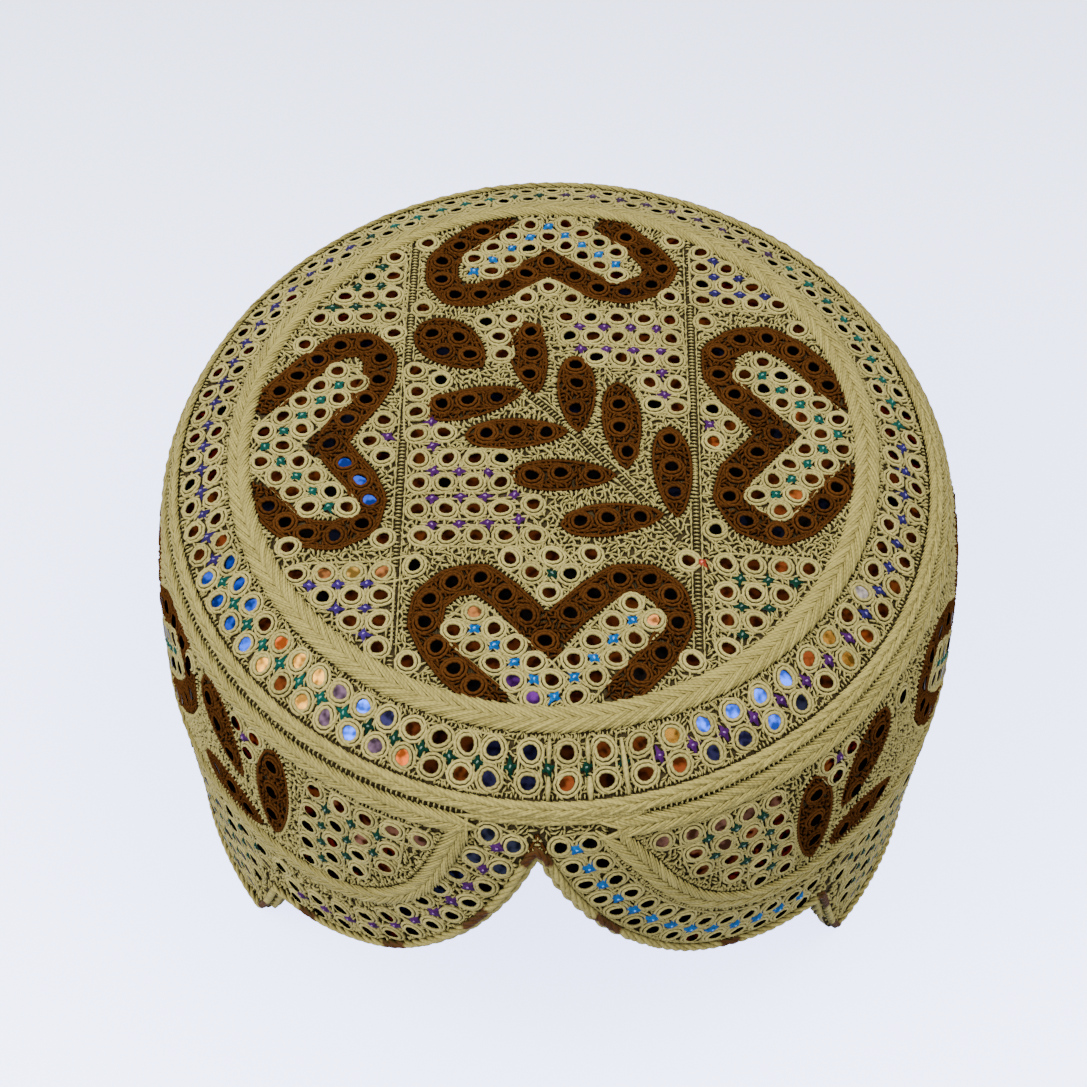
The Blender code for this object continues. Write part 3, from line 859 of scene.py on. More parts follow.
# Painted reflections: mirror tints that stand in for glints and reflections on single mirrors
BRIGHT_BLUE_GLINT = (0.025, 0.075, 0.50)
AMBER_GLINT = (0.36, 0.13, 0.035)
DEEP_PURPLE_GLINT = (0.020, 0.004, 0.034)
add_heart("crown", (-49.9, -2.4), (
    ((-46.4, 4.4), (-42.7, 10.1), (-40.2, 15.8), (-40.1, 22.4), (-43.6, 27.0), (-49.4, 26.7), (-54.2, 22.7),
     (-58.4, 18.0), (-62.0, 13.6)),
    ((-46.2, -7.8), (-42.6, -12.7), (-40.3, -18.2), (-41.5, -24.5), (-47.2, -27.4), (-53.2, -26.6),
     (-58.0, -23.4), (-61.9, -18.9)),
), (-64.0, -2.4), ((-49.0, 14.6), (-49.0, -19.7)), TEAL, inside_crown)
add_heart("crown", (46.9, 2.1), (
    ((42.7, 7.8), (38.2, 13.0), (34.9, 18.7), (34.9, 25.6), (40.0, 30.0), (46.2, 30.9), (51.8, 27.5),
     (56.2, 22.8), (59.2, 17.6)),
    ((42.6, -3.4), (37.8, -9.4), (36.2, -16.0), (39.6, -22.3), (46.3, -24.7), (52.0, -21.6),
     (56.4, -16.4), (59.4, -11.6)),
), (60.6, 3.4), ((44.6, 19.1), (46.2, -14.7)), TEAL, inside_crown)
add_heart("crown", (-3.2, 53.4), (
    ((-8.3, 49.3), (-13.1, 45.5), (-18.5, 42.2), (-24.3, 42.2), (-27.6, 47.4), (-27.7, 53.6), (-23.9, 58.9),
     (-18.6, 64.0)),
    ((2.9, 48.6), (8.2, 44.7), (14.3, 43.6), (20.3, 46.4), (22.8, 52.0), (19.2, 57.7), (14.6, 62.6)),
), (-3.4, 66.0), ((-20.3, 50.1), (12.2, 53.0)), BLUE, inside_crown)
add_heart("crown", (-2.5, -53.9), (
    ((-6.4, -47.9), (-10.9, -43.0), (-16.1, -38.7), (-22.0, -39.8), (-26.5, -44.0), (-27.3, -49.5),
     (-24.6, -55.4), (-20.9, -60.6), (-16.7, -64.6)),
    ((2.6, -47.2), (7.5, -42.4), (12.8, -38.4), (19.0, -38.4), (23.3, -42.0), (24.7, -48.8), (21.3, -56.2),
     (16.8, -61.4)),
), (-0.4, -67.0), ((-17.0, -51.2), (15.4, -48.6)), BLUE, inside_crown)
put("crown", "cream", (
    (-38.4, 3.8), (-41.2, -2.0), (-38.1, -6.4), (33.2, 8.2), (36.9, 3.7),
    (-10.1, -33.9), (-1.3, -33.2), (6.8, -32.6), (-5.5, -37.4), (2.5, -37.6), (-1.8, -42.4),
    (-3.1, 44.8), (-8.1, 41.1), (2.1, 41), (-37.6, 30), (-36.9, -28.5), (-57.5, 27.6),
    (-56.9, -29.9), (-31.3, 60.1), (25.5, 61.8), (24.4, 42.6), (33, -25), (32.2, 35), (-31.4, 38),
    (27.1, -33.3), (27.6, -57.7), (-30, -35.5), (-30.4, -58.9), (53.4, 34.5),
))
put("crown", "cream", ((33.2, -1),), (0.20, 0.045, 0.010))
put("crown", "knots", ((-37.3, -0.9), (32.5, 3.7)), PURPLE)
put("crown", "knots", ((-1.3, -37.6),), GREEN)
put("crown", "knots", ((29.9, -33.7),), (0.40, 0.05, 0.02))

put("crown", "cream", (
    (-30.2, -7.4), (-24, -7.4), (-18.2, -7.4), (-12.5, -7.4), (-30, -14), (-24.5, -14),
    (-18.5, -14), (-12.5, -14), (-30, -21), (-24, -21), (-18, -21), (-12.2, -21), (-5.5, -19.8),
    (-29, -28), (-23.3, -28), (-17.3, -28), (-11.3, -28), (-5, -28), (-31, -0.4), (-25.2, -0.1),
    (-31.5, 6), (-31.5, 11.9), (-26.5, 15.3), (-32.2, 18.2), (-17, 33.3), (-11.3, 34.2),
    (-14, 28.5), (-13.2, 23), (1, 35), (6.5, 35), (12.5, 35), (18.5, 35), (24.3, 35), (1.8, 29),
    (7, 29), (12.5, 29), (18.5, 29), (24.5, 29), (7.7, 22.5), (13.3, 22.5), (19.3, 22.5),
    (25, 22.5), (19.5, 15.3), (25.3, 15), (20.5, 8.8), (25.5, 8.2),
))
put("crown", "knots", (
    (-28, 3), (-27.5, -3.8), (-27, -10.8), (-21.5, -11), (-15.3, -11.2), (-27, -18.2),
    (-21, -17.8), (-15.8, -17.8), (-9.5, -17.3), (-26.8, -25.2), (-21, -25), (-15, -24.8),
    (-8.5, -23.8), (4, 32), (9.5, 32), (15.5, 32), (21.3, 32), (4.3, 25), (10, 25), (16, 25),
    (22, 25), (22.3, 18.5), (22.7, 11.8),
), PURPLE)
for start, tip, mirrors in (
    ((-9, 33.5), (-5.5, 11.5), ((-6.8, 30.2), (-6.5, 23.5), (-7, 17))),
    ((3, 22.5), (4, 0.5), ((3.2, 20), (3.5, 14.5), (3.2, 7))),
    ((12.5, 15), (14.3, -9.5), ((12.7, 8.5), (12.8, 2), (14.5, -5))),
    ((23.5, 2.5), (25, -22), ((23.7, -1), (24, -8.7), (24.5, -15.5))),
    ((-29.5, 5.5), (-8.5, 12), ((-26, 8.3), (-20.3, 9.3), (-14, 10))),
    ((-20.5, -1), (1.5, 0.5), ((-16, -0.3), (-9.8, 0.3), (-3, 0))),
    ((-10.5, -12), (12, -11.5), ((-6, -12), (0.2, -11.2), (7.3, -11.7))),
    ((0.5, -25), (22, -21.5), ((4.5, -24), (10.3, -23), (17.2, -22.5))),
):
    add_leaf("crown", start, tip, mirrors)
add_leaf("crown", (-31.5, 33), (-17.5, 19.5), ((-29, 29.7), (-23, 28.5), (-26.3, 24), (-20.3, 23)), 6.2)

for rows, first, step, dye in (
    ((35.7, 42.6, 48.9, 55.5), -38.7, -5.35, GREEN),
    ((42, 47.3, 53, 58.3), 31.9, 5.75, NAVY),
    ((-37, -42.8, -49, -55.4), -36.7, -6.0, (0.05, 0.02, 0.17)),
    ((-33.7, -40.8, -47.6, -54.4), 35.0, 5.8, GREEN),
):
    for k, y in enumerate(rows):
        places = [(first + step * j, y) for j in range(5)]
        put("crown", "cream", [place for place in places if crown_reach(*place) < 65.5])
        if k:
            middle = (rows[k - 1] + y) / 2
            knots = [(first + step * (j + 0.5), middle) for j in range(4)]
            put("crown", "knots", [place for place in knots if crown_reach(*place) < 64.5], dye)


# Painted reflections: mirrors of the crown tinted with the colours of the glints and reflections they show,
# each found by where it is
for kind, x, y, tint in (
    ("cream", -17.5, -46.8, AMBER_GLINT), ("cream", 19.1, -48.5, AMBER_GLINT), ("cream", -8.8, -65.0, DEEP_PURPLE_GLINT),
    ("cream", -4.2, -67.6, DEEP_PURPLE_GLINT), ("cream", -36.7, -37.0, AMBER_GLINT),
    ("cream", -42.7, -37.0, (0.5, 0.28, 0.05)), ("cream", -48.7, -37.0, AMBER_GLINT),
    ("brown", -46.2, -7.8, BRIGHT_BLUE_GLINT), ("brown", -42.6, -12.7, BRIGHT_BLUE_GLINT),
    ("brown", -40.3, -18.2, BRIGHT_BLUE_GLINT),
):
    rows = motifs["crown"][kind]
    nearest = min(range(len(rows)), key=lambda k: hypot(rows[k][0] - x, rows[k][1] - y))
    rows[nearest] = (rows[nearest][0], rows[nearest][1], tint)


# Wall motifs: two rows of mirrors follow the cut-out, and the braided panel above is filled with
# a triangle of mirrors, leaves and hearts, repeated plainly round the back.
def wall_place(degrees, depth):
    """Chart place on the wall at an azimuth in degrees and a depth below the crown's plait."""
    return radians(degrees) * ARC, float(up_the_side(PLAIT_HEIGHT - depth))


def offset_line(line, distance):
    """The same line moved sideways, to its left where the distance is positive."""
    ahead = np.gradient(line, axis=0)
    ahead /= np.hypot(*ahead.T)[:, None] + 1e-9
    return line + distance * np.stack([-ahead[:, 1], ahead[:, 0]], -1)


def distances(points, line):
    """Distance of each point from the nearest place of a line."""
    points, line = np.asarray(points, float), np.asarray(line, float)
    start, step = line[:-1], np.diff(line, axis=0)
    share = ((points[:, None] - start) * step).sum(-1) / ((step ** 2).sum(-1) + 1e-9)
    nearest = start + np.clip(share, 0, 1)[..., None] * step
    return np.linalg.norm(points[:, None] - nearest, axis=-1).min(1)


hem_line = np.array([
    (ARC * (NOTCH_TURN + turn), float(up_the_side(hem_height(turn))))
    for turn in np.concatenate([columns, columns[:1] + tau])
])
PANEL_TOP = WALL_HEIGHT - 4.3
PANEL_LEVEL = 52.0
PANEL_TILT = 2.0
PANEL_TIP = radians(10)
PANEL_LEVEL_TURN = radians(55)
PANEL_ROWS = (     # share of the way from tip to level part, share of height left: left, right
    (0, 1, 1), (0.10, 0.55, 0.75), (0.17, 0.37, 0.55), (0.27, 0.23, 0.34), (0.38, 0.15, 0.21),
    (0.49, 0.11, 0.13), (0.62, 0.085, 0.085), (0.78, 0.045, 0.05), (1, 0, 0),
)


def panel_lower(turn):
    """Chart place on the panel's lower braid at a turn from the notch."""
    azimuth = NOTCH_TURN + turn
    level = PANEL_LEVEL + PANEL_TILT * sin(azimuth)
    share = (abs(turn) - PANEL_TIP) / (PANEL_LEVEL_TURN - PANEL_TIP)
    height = level
    if share < 1:
        rows = [(row[0], row[2 if turn > 0 else 1]) for row in PANEL_ROWS]
        height = level + (PANEL_TOP - level) * float(smooth_curve(rows, np.array(share)))
    return ARC * azimuth, float(up_the_side(height))


tips = [PANEL_TIP + (PANEL_LEVEL_TURN - PANEL_TIP) * k / 40 for k in range(41)]
panel_right = [panel_lower(turn) for turn in tips]
panel_left = [panel_lower(-turn) for turn in reversed(tips)]
behind = np.linspace(PANEL_LEVEL_TURN, tau - PANEL_LEVEL_TURN, 80)[1:-1]
panel_behind = [
    (ARC * (NOTCH_TURN + turn), panel_lower(turn if turn < pi else turn - tau)[1]) for turn in behind
]
lap = np.array([tau * ARC, 0])
panel_left_on = [tuple(np.array(place) + lap) for place in panel_left]
panel_bottom = np.array(panel_right + panel_behind + panel_left_on)
panel_laps = (panel_bottom - lap, panel_bottom)
PANEL_TOP_LENGTH = float(up_the_side(PANEL_TOP))


def even_places(line, pitch):
    """Places at an even pitch along a line, the first at its start."""
    run = np.concatenate([[0], np.cumsum(np.hypot(*np.diff(line, axis=0).T))])
    places = np.arange(0, run[-1] + 0.3 * pitch, pitch)
    return np.stack([np.interp(places, run, line[:, 0]), np.interp(places, run, line[:, 1])], -1)


def panel_gap(points):
    """Distance of each point from the panel's lower braid."""
    return np.minimum(*[distances(points, line) for line in panel_laps])


# Two rows of mirrors inside the hem of the cut-out, and knots between them
LOBE_ROWS = (5.4, 11.4)
LOBE_KNOTS = 8.4
LOBE_PITCH = {"left": 7.4, "right": 6.2}
notch_column = int(np.argmin(abs(columns)))
lobe_coils = []
for sign, part in ((-1, hem_line[:notch_column + 1][::-1]), (1, hem_line[notch_column:])):
    side = "left" if sign < 0 else "right"
    reach = ARC * (NOTCH_TURN + sign * (SHOULDER[side] - radians(2)))
    cut = part[(part[:, 0] - reach) * sign <= 0]
    for depth in LOBE_ROWS:
        row = offset_line(cut, depth * sign)
        row = row[distances(row, hem_line) > depth - 0.25]
        row = row[(panel_gap(row) > 5.2) & (row[:, 1] < SEAM - 5.7)]
        if len(row) > 2:
            lobe_coils += list(even_places(row, LOBE_PITCH[side]))
    knot_row = offset_line(cut, LOBE_KNOTS * sign)
    clear = distances(knot_row, hem_line) > LOBE_KNOTS - 0.3
    knot_row = knot_row[clear & (knot_row[:, 1] < SEAM - 8.3)]
    for place in even_places(knot_row, LOBE_PITCH[side]):
        far = abs(place[0] / ARC) > radians(40)
        dye = GREEN if far else (PURPLE if sign < 0 else BLUE)
        put("side", "knots", [place], dye)
PANEL_GLASS = (0.075, 0.034, 0.021)
lobe_tints = []
for x, y in lobe_coils:
    turn = x / ARC - NOTCH_TURN
    dark = (0.011, 0.012, 0.019) if turn < 0 else BLACK_GLASS
    lobe_tints.append(dark if abs(turn) < radians(20) else PANEL_GLASS if turn < 0 else None)
put("side", "cream", lobe_coils, lobe_tints)
notch = hem_line[notch_column]
motifs["side"]["lines"].append(np.array([notch + place for place in (
    (-3.2, -0.6), (-1.2, 2.0), (0, 5.2), (1.2, 2.0), (3.2, -0.6), (0, 0.6),
)])[::-1])

# Rows of mirrors under the panel round the sides and the back
GRID_HEIGHTS = np.arange(45.7, 4.0, -6.65)
GRID_COUNT = int(round(tau * ARC / 6.35))
grid = np.array([
    ((k + 0.5 - GRID_COUNT / 2) * tau * ARC / GRID_COUNT, float(up_the_side(height)))
    for height in GRID_HEIGHTS for k in range(GRID_COUNT)
])
away = abs(grid[:, 0] / ARC - NOTCH_TURN)
grid = grid[(away > radians(30)) & (distances(grid, hem_line) > 5.3) & (panel_gap(grid) > 5.3)]
lobes = np.array(lobe_coils)
apart = np.linalg.norm(grid[:, None] - lobes, axis=-1).min(1)
inside_lobes = np.array([
    y < np.interp(x, hem_line[:, 0], hem_line[:, 1]) for x, y in grid
])
grid = grid[(apart > 5.3) & ~inside_lobes]
put("side", "cream", list(grid))
knots = grid + np.array([tau * ARC / GRID_COUNT / 2, -3.3])
near = np.sort(np.linalg.norm(knots[:, None] - np.vstack([grid, lobes]), axis=-1), 1)
knots = knots[(near[:, 3] < 6.0) & (near[:, 0] > 3.6)]
put("side", "knots", list(knots), GREEN)

# The panel's triangle of mirrors either side of the front, then a seam, leaves and hearts
for sign, seam, pitch, rows in (
    (-1, -37.0, 4.0, ((19.2, 3.2, 5), (25.8, 2.9, 4), (31.9, 2.3, 4), (37.7, 2.2, 3), (44.0, 2.2, 2))),
    (1, 34.7, 4.05, ((16.6, 4.1, 5), (22.4, 3.7, 4), (28.2, 2.7, 4), (34.4, 2.2, 3), (41.0, 2.2, 2))),
):
    for row, (depth, inset, count) in enumerate(rows):     # depth, degrees from the seam, mirrors
        for k in range(count):
            place = wall_place(seam - sign * (inset + pitch * k), depth)
            put("side", "cream", [place], tuple(np.array(PANEL_GLASS) * dice.uniform(0.4, 1.3)))
            if row and k < count - 1:
                place = wall_place(seam - sign * (inset + 2.2 + pitch * k), depth - 3.1)
                put("side", "knots", [place], GREEN)

for places in (
    ((-48.9, 19), (-45, 18), (-46, 24), (-61.9, 21.5)),
    ((39.7, 16), (44, 16.4), (41.2, 21), (55.7, 18)),
):
    put("side", "cream", [wall_place(*place) for place in places], PANEL_GLASS)
put("side", "knots", [wall_place(-47.3, 21), wall_place(41.9, 16.5)], PURPLE)
for start, tip, mirrors in (
    ((-41.3, 17), (-41.3, 44.5), ((-41.3, 21.5), (-41.3, 29.5), (-41.3, 37.5))),
    ((37.3, 17), (37.3, 44), ((37.3, 22), (37.3, 30), (37.3, 37.5))),
    ((-57.5, 18), (-47.5, 34.5), ((-55.7, 22), (-53.2, 26), (-50.1, 31.3))),
    ((51.8, 15.5), (42.5, 33.5), ((49.8, 19.8), (45.9, 24), (44.7, 31))),
    ((-57.5, 45.5), (-43.5, 45.5), ((-54, 44.2), (-50, 43), (-46.5, 45))),
    ((40.5, 43), (53.5, 43), ((43, 42.2), (47, 41.2), (50.7, 42.2))),
):
    add_leaf(
        "side", wall_place(*start), wall_place(*tip), [wall_place(*mirror) for mirror in mirrors],
        4.6 if start[0] in (-41.3, 37.3) else 5.4,
    )


def inside_panel(place):
    bottom = panel_lower(radians(90))[1]
    return bottom + 5.2 < place[1] < PANEL_TOP_LENGTH - 5.2


HEART_LENGTH = 73.0
HEART_ARM = (     # sideways, up from the cleft
    (5.2, 4.9), (9.8, 9.6), (15.5, 12.2), (21.5, 12.0), (25.8, 7.8), (27, 1.5), (24, -4.5),
    (20, -9.5), (15.6, -13.6),
)
for degrees in (-129, -78, 78, 129, 180):
    middle = radians(degrees) * ARC
    sides = [[(middle + sign * x, HEART_LENGTH + y) for x, y in HEART_ARM] for sign in (1, -1)]
    ends = [(middle + sign * 16.2, HEART_LENGTH + 2.6) for sign in (1, -1)]
    apex = (middle, HEART_LENGTH - 13.6)
    add_heart("side", (middle, HEART_LENGTH), sides, apex, ends, TEAL, inside_panel)
for degrees in (-154.5, -103.5, 103.5, 154.5):
    add_leaf(
        "side", wall_place(degrees, 20), wall_place(degrees, 47),
        [wall_place(degrees, depth) for depth in (24.5, 31.5, 38.5)],
    )

# Ring of the crown outside the plait: 76 pairs of mirrors, more widely spaced over the forehead,
# with a knot between each pair whose thread changes colour round the cap.
RING_COLUMNS = ((0, -178), (37, -13.8), (38, -9.6), (42, 13.2), (51, 61), (76, 182))     # number, degrees
RING_RADII = (79.4, 74.25, 76.87)     # outer row, inner row, knots
PLUM = (0.030, 0.014, 0.110)
RING_DYES = (     # degrees where each colour ends
    (-167, GREEN), (-148, TEAL), (-141, GREEN), (-66, PLUM), (-33, TEAL), (13, GREEN),
    (56, PURPLE), (96, NAVY), (140, TEAL), (185, (0.05, 0.018, 0.06)),
)
# Painted reflections: mirror tints that stand in for the glints and reflections of the ring's mirrors, set
# by where each mirror sits
SKY_GLINT = (0.012, 0.044, 0.32)
GOLD_GLINT = (0.19, 0.088, 0.013)
ORANGE_GLINT = (0.12, 0.024, 0.0040)
PALE = (0.30, 0.25, 0.22)
SLATE_GLINT = (0.020, 0.012, 0.018)
DARK_RED_GLINT = (0.0085, 0.0021, 0.0006)
DIM_RED_GLINT = (0.016, 0.0040, 0.0010)
RING_PAINTED_GLINTS = (     # degrees, inner mirror, outer mirror
    (-67.5, SKY_GLINT, BRIGHT_BLUE_GLINT), (-63, SKY_GLINT, SKY_GLINT), (-58, BRIGHT_BLUE_GLINT, SKY_GLINT), (-52, RED_GLASS, SKY_GLINT),
    (-48, ORANGE_GLINT, GOLD_GLINT), (-43.5, GOLD_GLINT, DIM_RED_GLINT), (-39.5, GOLD_GLINT, GOLD_GLINT), (-35, SLATE_GLINT, SLATE_GLINT),
    (-31, SKY_GLINT, SKY_GLINT), (-26.5, NAVY_GLASS, SLATE_GLINT), (-22, DARK_RED_GLINT, ORANGE_GLINT), (-18, DARK_RED_GLINT, DARK_RED_GLINT),
    (-13.8, DIM_RED_GLINT, DIM_RED_GLINT), (-9.6, NAVY_GLASS, NAVY_GLASS), (-3.9, NAVY_GLASS, NAVY_GLASS),
    (1.9, DIM_RED_GLINT, RED_GLASS), (7.5, DIM_RED_GLINT, DIM_RED_GLINT), (13.2, DIM_RED_GLINT, RED_GLASS),
    (18.5, GOLD_GLINT, RED_GLASS), (24, SKY_GLINT, NAVY_GLASS), (29.2, SKY_GLINT, NAVY_GLASS), (34.5, SKY_GLINT, BRIGHT_BLUE_GLINT),
    (40, SKY_GLINT, INK_GLASS), (50.5, GOLD_GLINT, GOLD_GLINT), (56, RED_GLASS, ORANGE_GLINT), (61, PALE, RED_GLASS),
)


def ring_length(radius):
    """Length up the cloth where the crown's sloping ring has a radius."""
    band_part = slice(len(wall_share) - 1, len(side_radius))
    return float(np.interp(-radius, -side_radius[band_part], side_length[band_part]))


ring_numbers, ring_degrees = zip(*RING_COLUMNS)
outer_length, inner_length, knot_length = [ring_length(radius) for radius in RING_RADII]
ring_coils = []
for number in range(ring_numbers[-1]):
    degrees = float(np.interp(number, ring_numbers, ring_degrees))
    # Mirrors near a listed column take its painted reflection tints
    nearest = min(RING_PAINTED_GLINTS, key=lambda glint: abs(glint[0] - degrees))
    painted_glints = nearest[1:] if abs(nearest[0] - degrees) < 2.4 else (None, None)
    arc = radians(degrees) * ARC
    lean = float(crown_lean(radians(degrees)))
    ring_coils += [(arc, inner_length + lean, painted_glints[0]), (arc, outer_length + lean, painted_glints[1])]
    between = float(np.interp(number + 0.5, ring_numbers, ring_degrees))
    dye = next(colour for end, colour in RING_DYES if between <= end)
    motifs["side"]["knots"].append((radians(between) * ARC, knot_length + lean, dye))
motifs["side"]["cream"] += ring_coils


def add_links(strands, surface, places):
    """Bridges neighbouring coils with short threads that run from one round to the next."""
    gaps = np.linalg.norm(places[:, None] - places, axis=-1)
    first, second = np.nonzero(np.triu((gaps < 6.9) & (gaps > 4.8)))
    ahead = (places[second] - places[first]) / gaps[first, second][:, None]
    for side in (-1, 1):
        sideways = side * np.stack([-ahead[:, 1], ahead[:, 0]], -1)
        middle = (places[first] + places[second]) / 2 + sideways * 2.75
        free = np.array([(np.linalg.norm(places - place, axis=-1) < 3.3).sum() == 0 for place in middle])
        if not free.any():
            continue
        share = np.linspace(-0.5, 0.5, 4)[None, :, None]
        length = gaps[first, second][:, None, None] * 0.95
        local = share * length * ahead[:, None]
        points, normals = laid((surface, *middle[free].T), local[free], np.full((free.sum(), 4), 0.42))
        strands.add(points, normals, 0.30 * MM, sides=4)


# All mirrors, coils and knots at once, the ones on the front and the crown wound more finely
FINE_TURN = radians(68)
discs = {"points": [], "tints": []}
cream_coils = {"crown_coils": Strands(), "front_coils": Strands(), "back_coils": Strands()}
brown_coils = Strands()
knots_made = Strands()
for surface, kinds in motifs.items():
    for kind in ("cream", "brown"):
        rows = kinds[kind]
        places = np.array([row[:2] for row in rows])
        tints = red_tints(len(rows)) if kind == "cream" else np.where(
            dice.uniform(0, 1, (len(rows), 1)) < 0.75, BLACK_GLASS, INK_GLASS)
        for k, row in enumerate(rows):
            if row[2] is not None:
                tints[k] = row[2]
        sizes = np.ones(len(places))
        if surface == "side":     # the coils of the left lobe beside the notch are larger
            turn = abs(places[:, 0] / ARC - NOTCH_TURN)
            lobe = (distances(places, hem_line) < 13) & (turn < radians(30))
            sizes[lobe] = np.where(places[lobe, 0] < NOTCH_TURN * ARC, 1.07, 1.0)
            sizes[places[:, 1] > SEAM] = 1.04
        rise = np.interp(abs(places[:, 0] / ARC), np.radians([15, 38]), [0.75, 1.05])
        rise = np.where((surface == "side") & (places[:, 1] < SEAM), rise, 0.62)
        add_mirrors(discs, (surface, *places.T), tints, sizes, rise)
        if kind == "brown":
            add_coils(brown_coils, (surface, *places.T), steps=24)
        elif surface == "crown":
            add_coils(cream_coils["crown_coils"], (surface, *places.T))
        else:
            fine = abs(places[:, 0] / ARC) < FINE_TURN
            add_coils(cream_coils["front_coils"], (surface, *places[fine].T), sizes[fine])
            add_coils(cream_coils["back_coils"], (surface, *places[~fine].T), steps=18, sides=4)
        add_links(brown_coils if kind == "brown" else cream_coils["front_coils"], surface, places)
    places = np.array([row[:2] for row in kinds["knots"]])
    coils = np.array([row[:2] for row in kinds["cream"]])
    nearest = coils[np.linalg.norm(places[:, None] - coils, axis=-1).argmin(1)]
    turns = np.arctan2(*(nearest - places).T[::-1]) + pi / 4
    sizes = np.full(len(places), 1.1)
    if surface == "side":
        turn = abs(places[:, 0] / ARC - NOTCH_TURN)
        sizes[(distances(places, hem_line) < 13) & (turn < radians(38))] = 1.4
    add_knots(knots_made, (surface, *places.T), [row[2] for row in kinds["knots"]], turns, sizes)
for name, strands in cream_coils.items():
    strands.finish(name, cream_thread, "embroidered_cloth")
brown_coils.finish("brown_coils", brown_thread, "embroidered_cloth")
knots_made.finish("knots", dyed_thread, "embroidered_cloth")
finish_mirrors(discs, "mirrors")

# Edges and filling. Brown thread outlines and fills the motifs, short cream spikes stand along
# their edges, and loose cream seed stitches fill the rest of the cloth.
brown_edges = Strands()
brown_fill = Strands()
cream_fill = {"crown_fill": Strands(), "front_fill": Strands(), "back_fill": Strands()}
spikes = Strands()


def covered(surface, points, reach, kinds=("cream", "brown")):
    """Whether each point is nearer than a reach to the centre of any coil, or knot."""
    centres = np.array([row[:2] for kind in kinds for row in motifs[surface][kind]])
    if surface == "side":
        centres = np.vstack([centres - lap, centres, centres + lap])
    result = np.zeros(len(points), bool)
    for first in range(0, len(points), 2000):
        batch = points[first:first + 2000]
        gaps = np.linalg.norm(batch[:, None] - centres, axis=-1)
        result[first:first + 2000] = gaps.min(1) < reach
    return result


def inside_line(points, line):
    """Whether each point is inside a closed outline."""
    inside = np.zeros(len(points), bool)
    for first, second in zip(line, np.roll(line, -1, 0)):
        crosses = (first[1] > points[:, 1]) != (second[1] > points[:, 1])
        at = first[0] + (points[:, 1] - first[1]) / (second[1] - first[1] + 1e-9) * (second[0] - first[0])
        inside ^= crosses & (points[:, 0] < at)
    return inside


brown_zones = {"crown": [], "side": []}
for surface, kinds in motifs.items():
    edges = []
    for curve, half in kinds["bands"]:
        x, y, _ = walk(curve, 1.3)
        path = np.stack([x, y], -1)
        brown_zones[surface].append((path, half))
        edges.append((offset_line(path, half - 0.1), False, 1))
        edges.append((offset_line(path, 0.1 - half), False, -1))
    for line in kinds["lines"]:
        edges.append((line, True, None))
    for line, closed, outward in edges:
        if surface == "crown":
            keep = crown_reach(*line.T) < 66.0
        else:
            keep = np.ones(len(line), bool)
        if not closed:
            for zone, _ in brown_zones[surface]:
                keep &= distances(line, zone) > 3.3
        runs = np.split(np.arange(len(line)), np.flatnonzero(np.diff(keep.astype(int))) + 1)
        for run in runs:
            if len(run) < 3 or not keep[run[0]]:
                continue
            part = line[run]
            whole = closed and len(run) == len(line)
            sign = outward or 1
            outline = np.vstack([part, part[:1]]) if whole else part
            points, normals = laid(
                (surface, outline[:1, 0], outline[:1, 1]), (outline - outline[0])[None],
                np.full((1, len(outline)), 0.42),
            )
            brown_edges.add(points, normals, 0.38 * MM, sides=4)
            x, y, heading = walk(outline, 1.05)
            places = np.stack([x, y], -1)
            places += sign * 0.95 * np.stack([-np.sin(heading), np.cos(heading)], -1)
            free = ~covered(surface, places, 2.75)
            add_seeds(spikes, (surface, *places[free].T), heading[free] + pi / 2, 0.95, 0.36, 0.45)
brown_edges.finish("brown_edges", brown_thread, "embroidered_cloth")


def brown_zone(surface, points, margin=0.0):
    """Whether each point is on a brown motif."""
    result = np.zeros(len(points), bool)
    for path, half in brown_zones[surface]:
        result |= distances(points, path) < half + margin
    for line in motifs[surface]["lines"]:
        result |= inside_line(points, line)
        if margin:
            result |= distances(points, np.vstack([line, line[:1]])) < margin
    return result


def jittered(low, high, pitch):
    """Points on a loose grid."""
    x, y = np.meshgrid(np.arange(low[0], high[0], pitch), np.arange(low[1], high[1], pitch))
    points = np.stack([x.ravel(), y.ravel()], -1)
    return points + dice.uniform(-0.32, 0.32, points.shape) * pitch


SEAM_LINES = (
    ((-34, -66), (-34, 66)), ((29, -66), (29, 66)),
    ((-9.5, 13.5), (-3, 7), (5, -2), (13, -12), (25, -27)),
)
points = jittered((-69, -71), (67, 72), 1.02)
points = points[crown_reach(*points.T) < 66.2]
points = points[~covered("crown", points, 2.85) & ~covered("crown", points, 1.35, ("knots",))]
on_brown = brown_zone("crown", points)
near_brown = brown_zone("crown", points, 0.9)
near_seam = np.zeros(len(points), bool)
for line in SEAM_LINES:
    near_seam |= distances(points, np.array(line, float)) < 1.3
fills = points[~near_brown & ~near_seam]
add_seeds(
    cream_fill["crown_fill"], ("crown", *fills.T), dice.uniform(0, pi, len(fills)),
    dice.uniform(1.5, 2.3, len(fills)), 0.40, 0.42, 0.35,
)
fills = points[on_brown]
add_seeds(brown_fill, ("crown", *fills.T), dice.uniform(0, pi, len(fills)), 1.8, 0.46, 0.34)
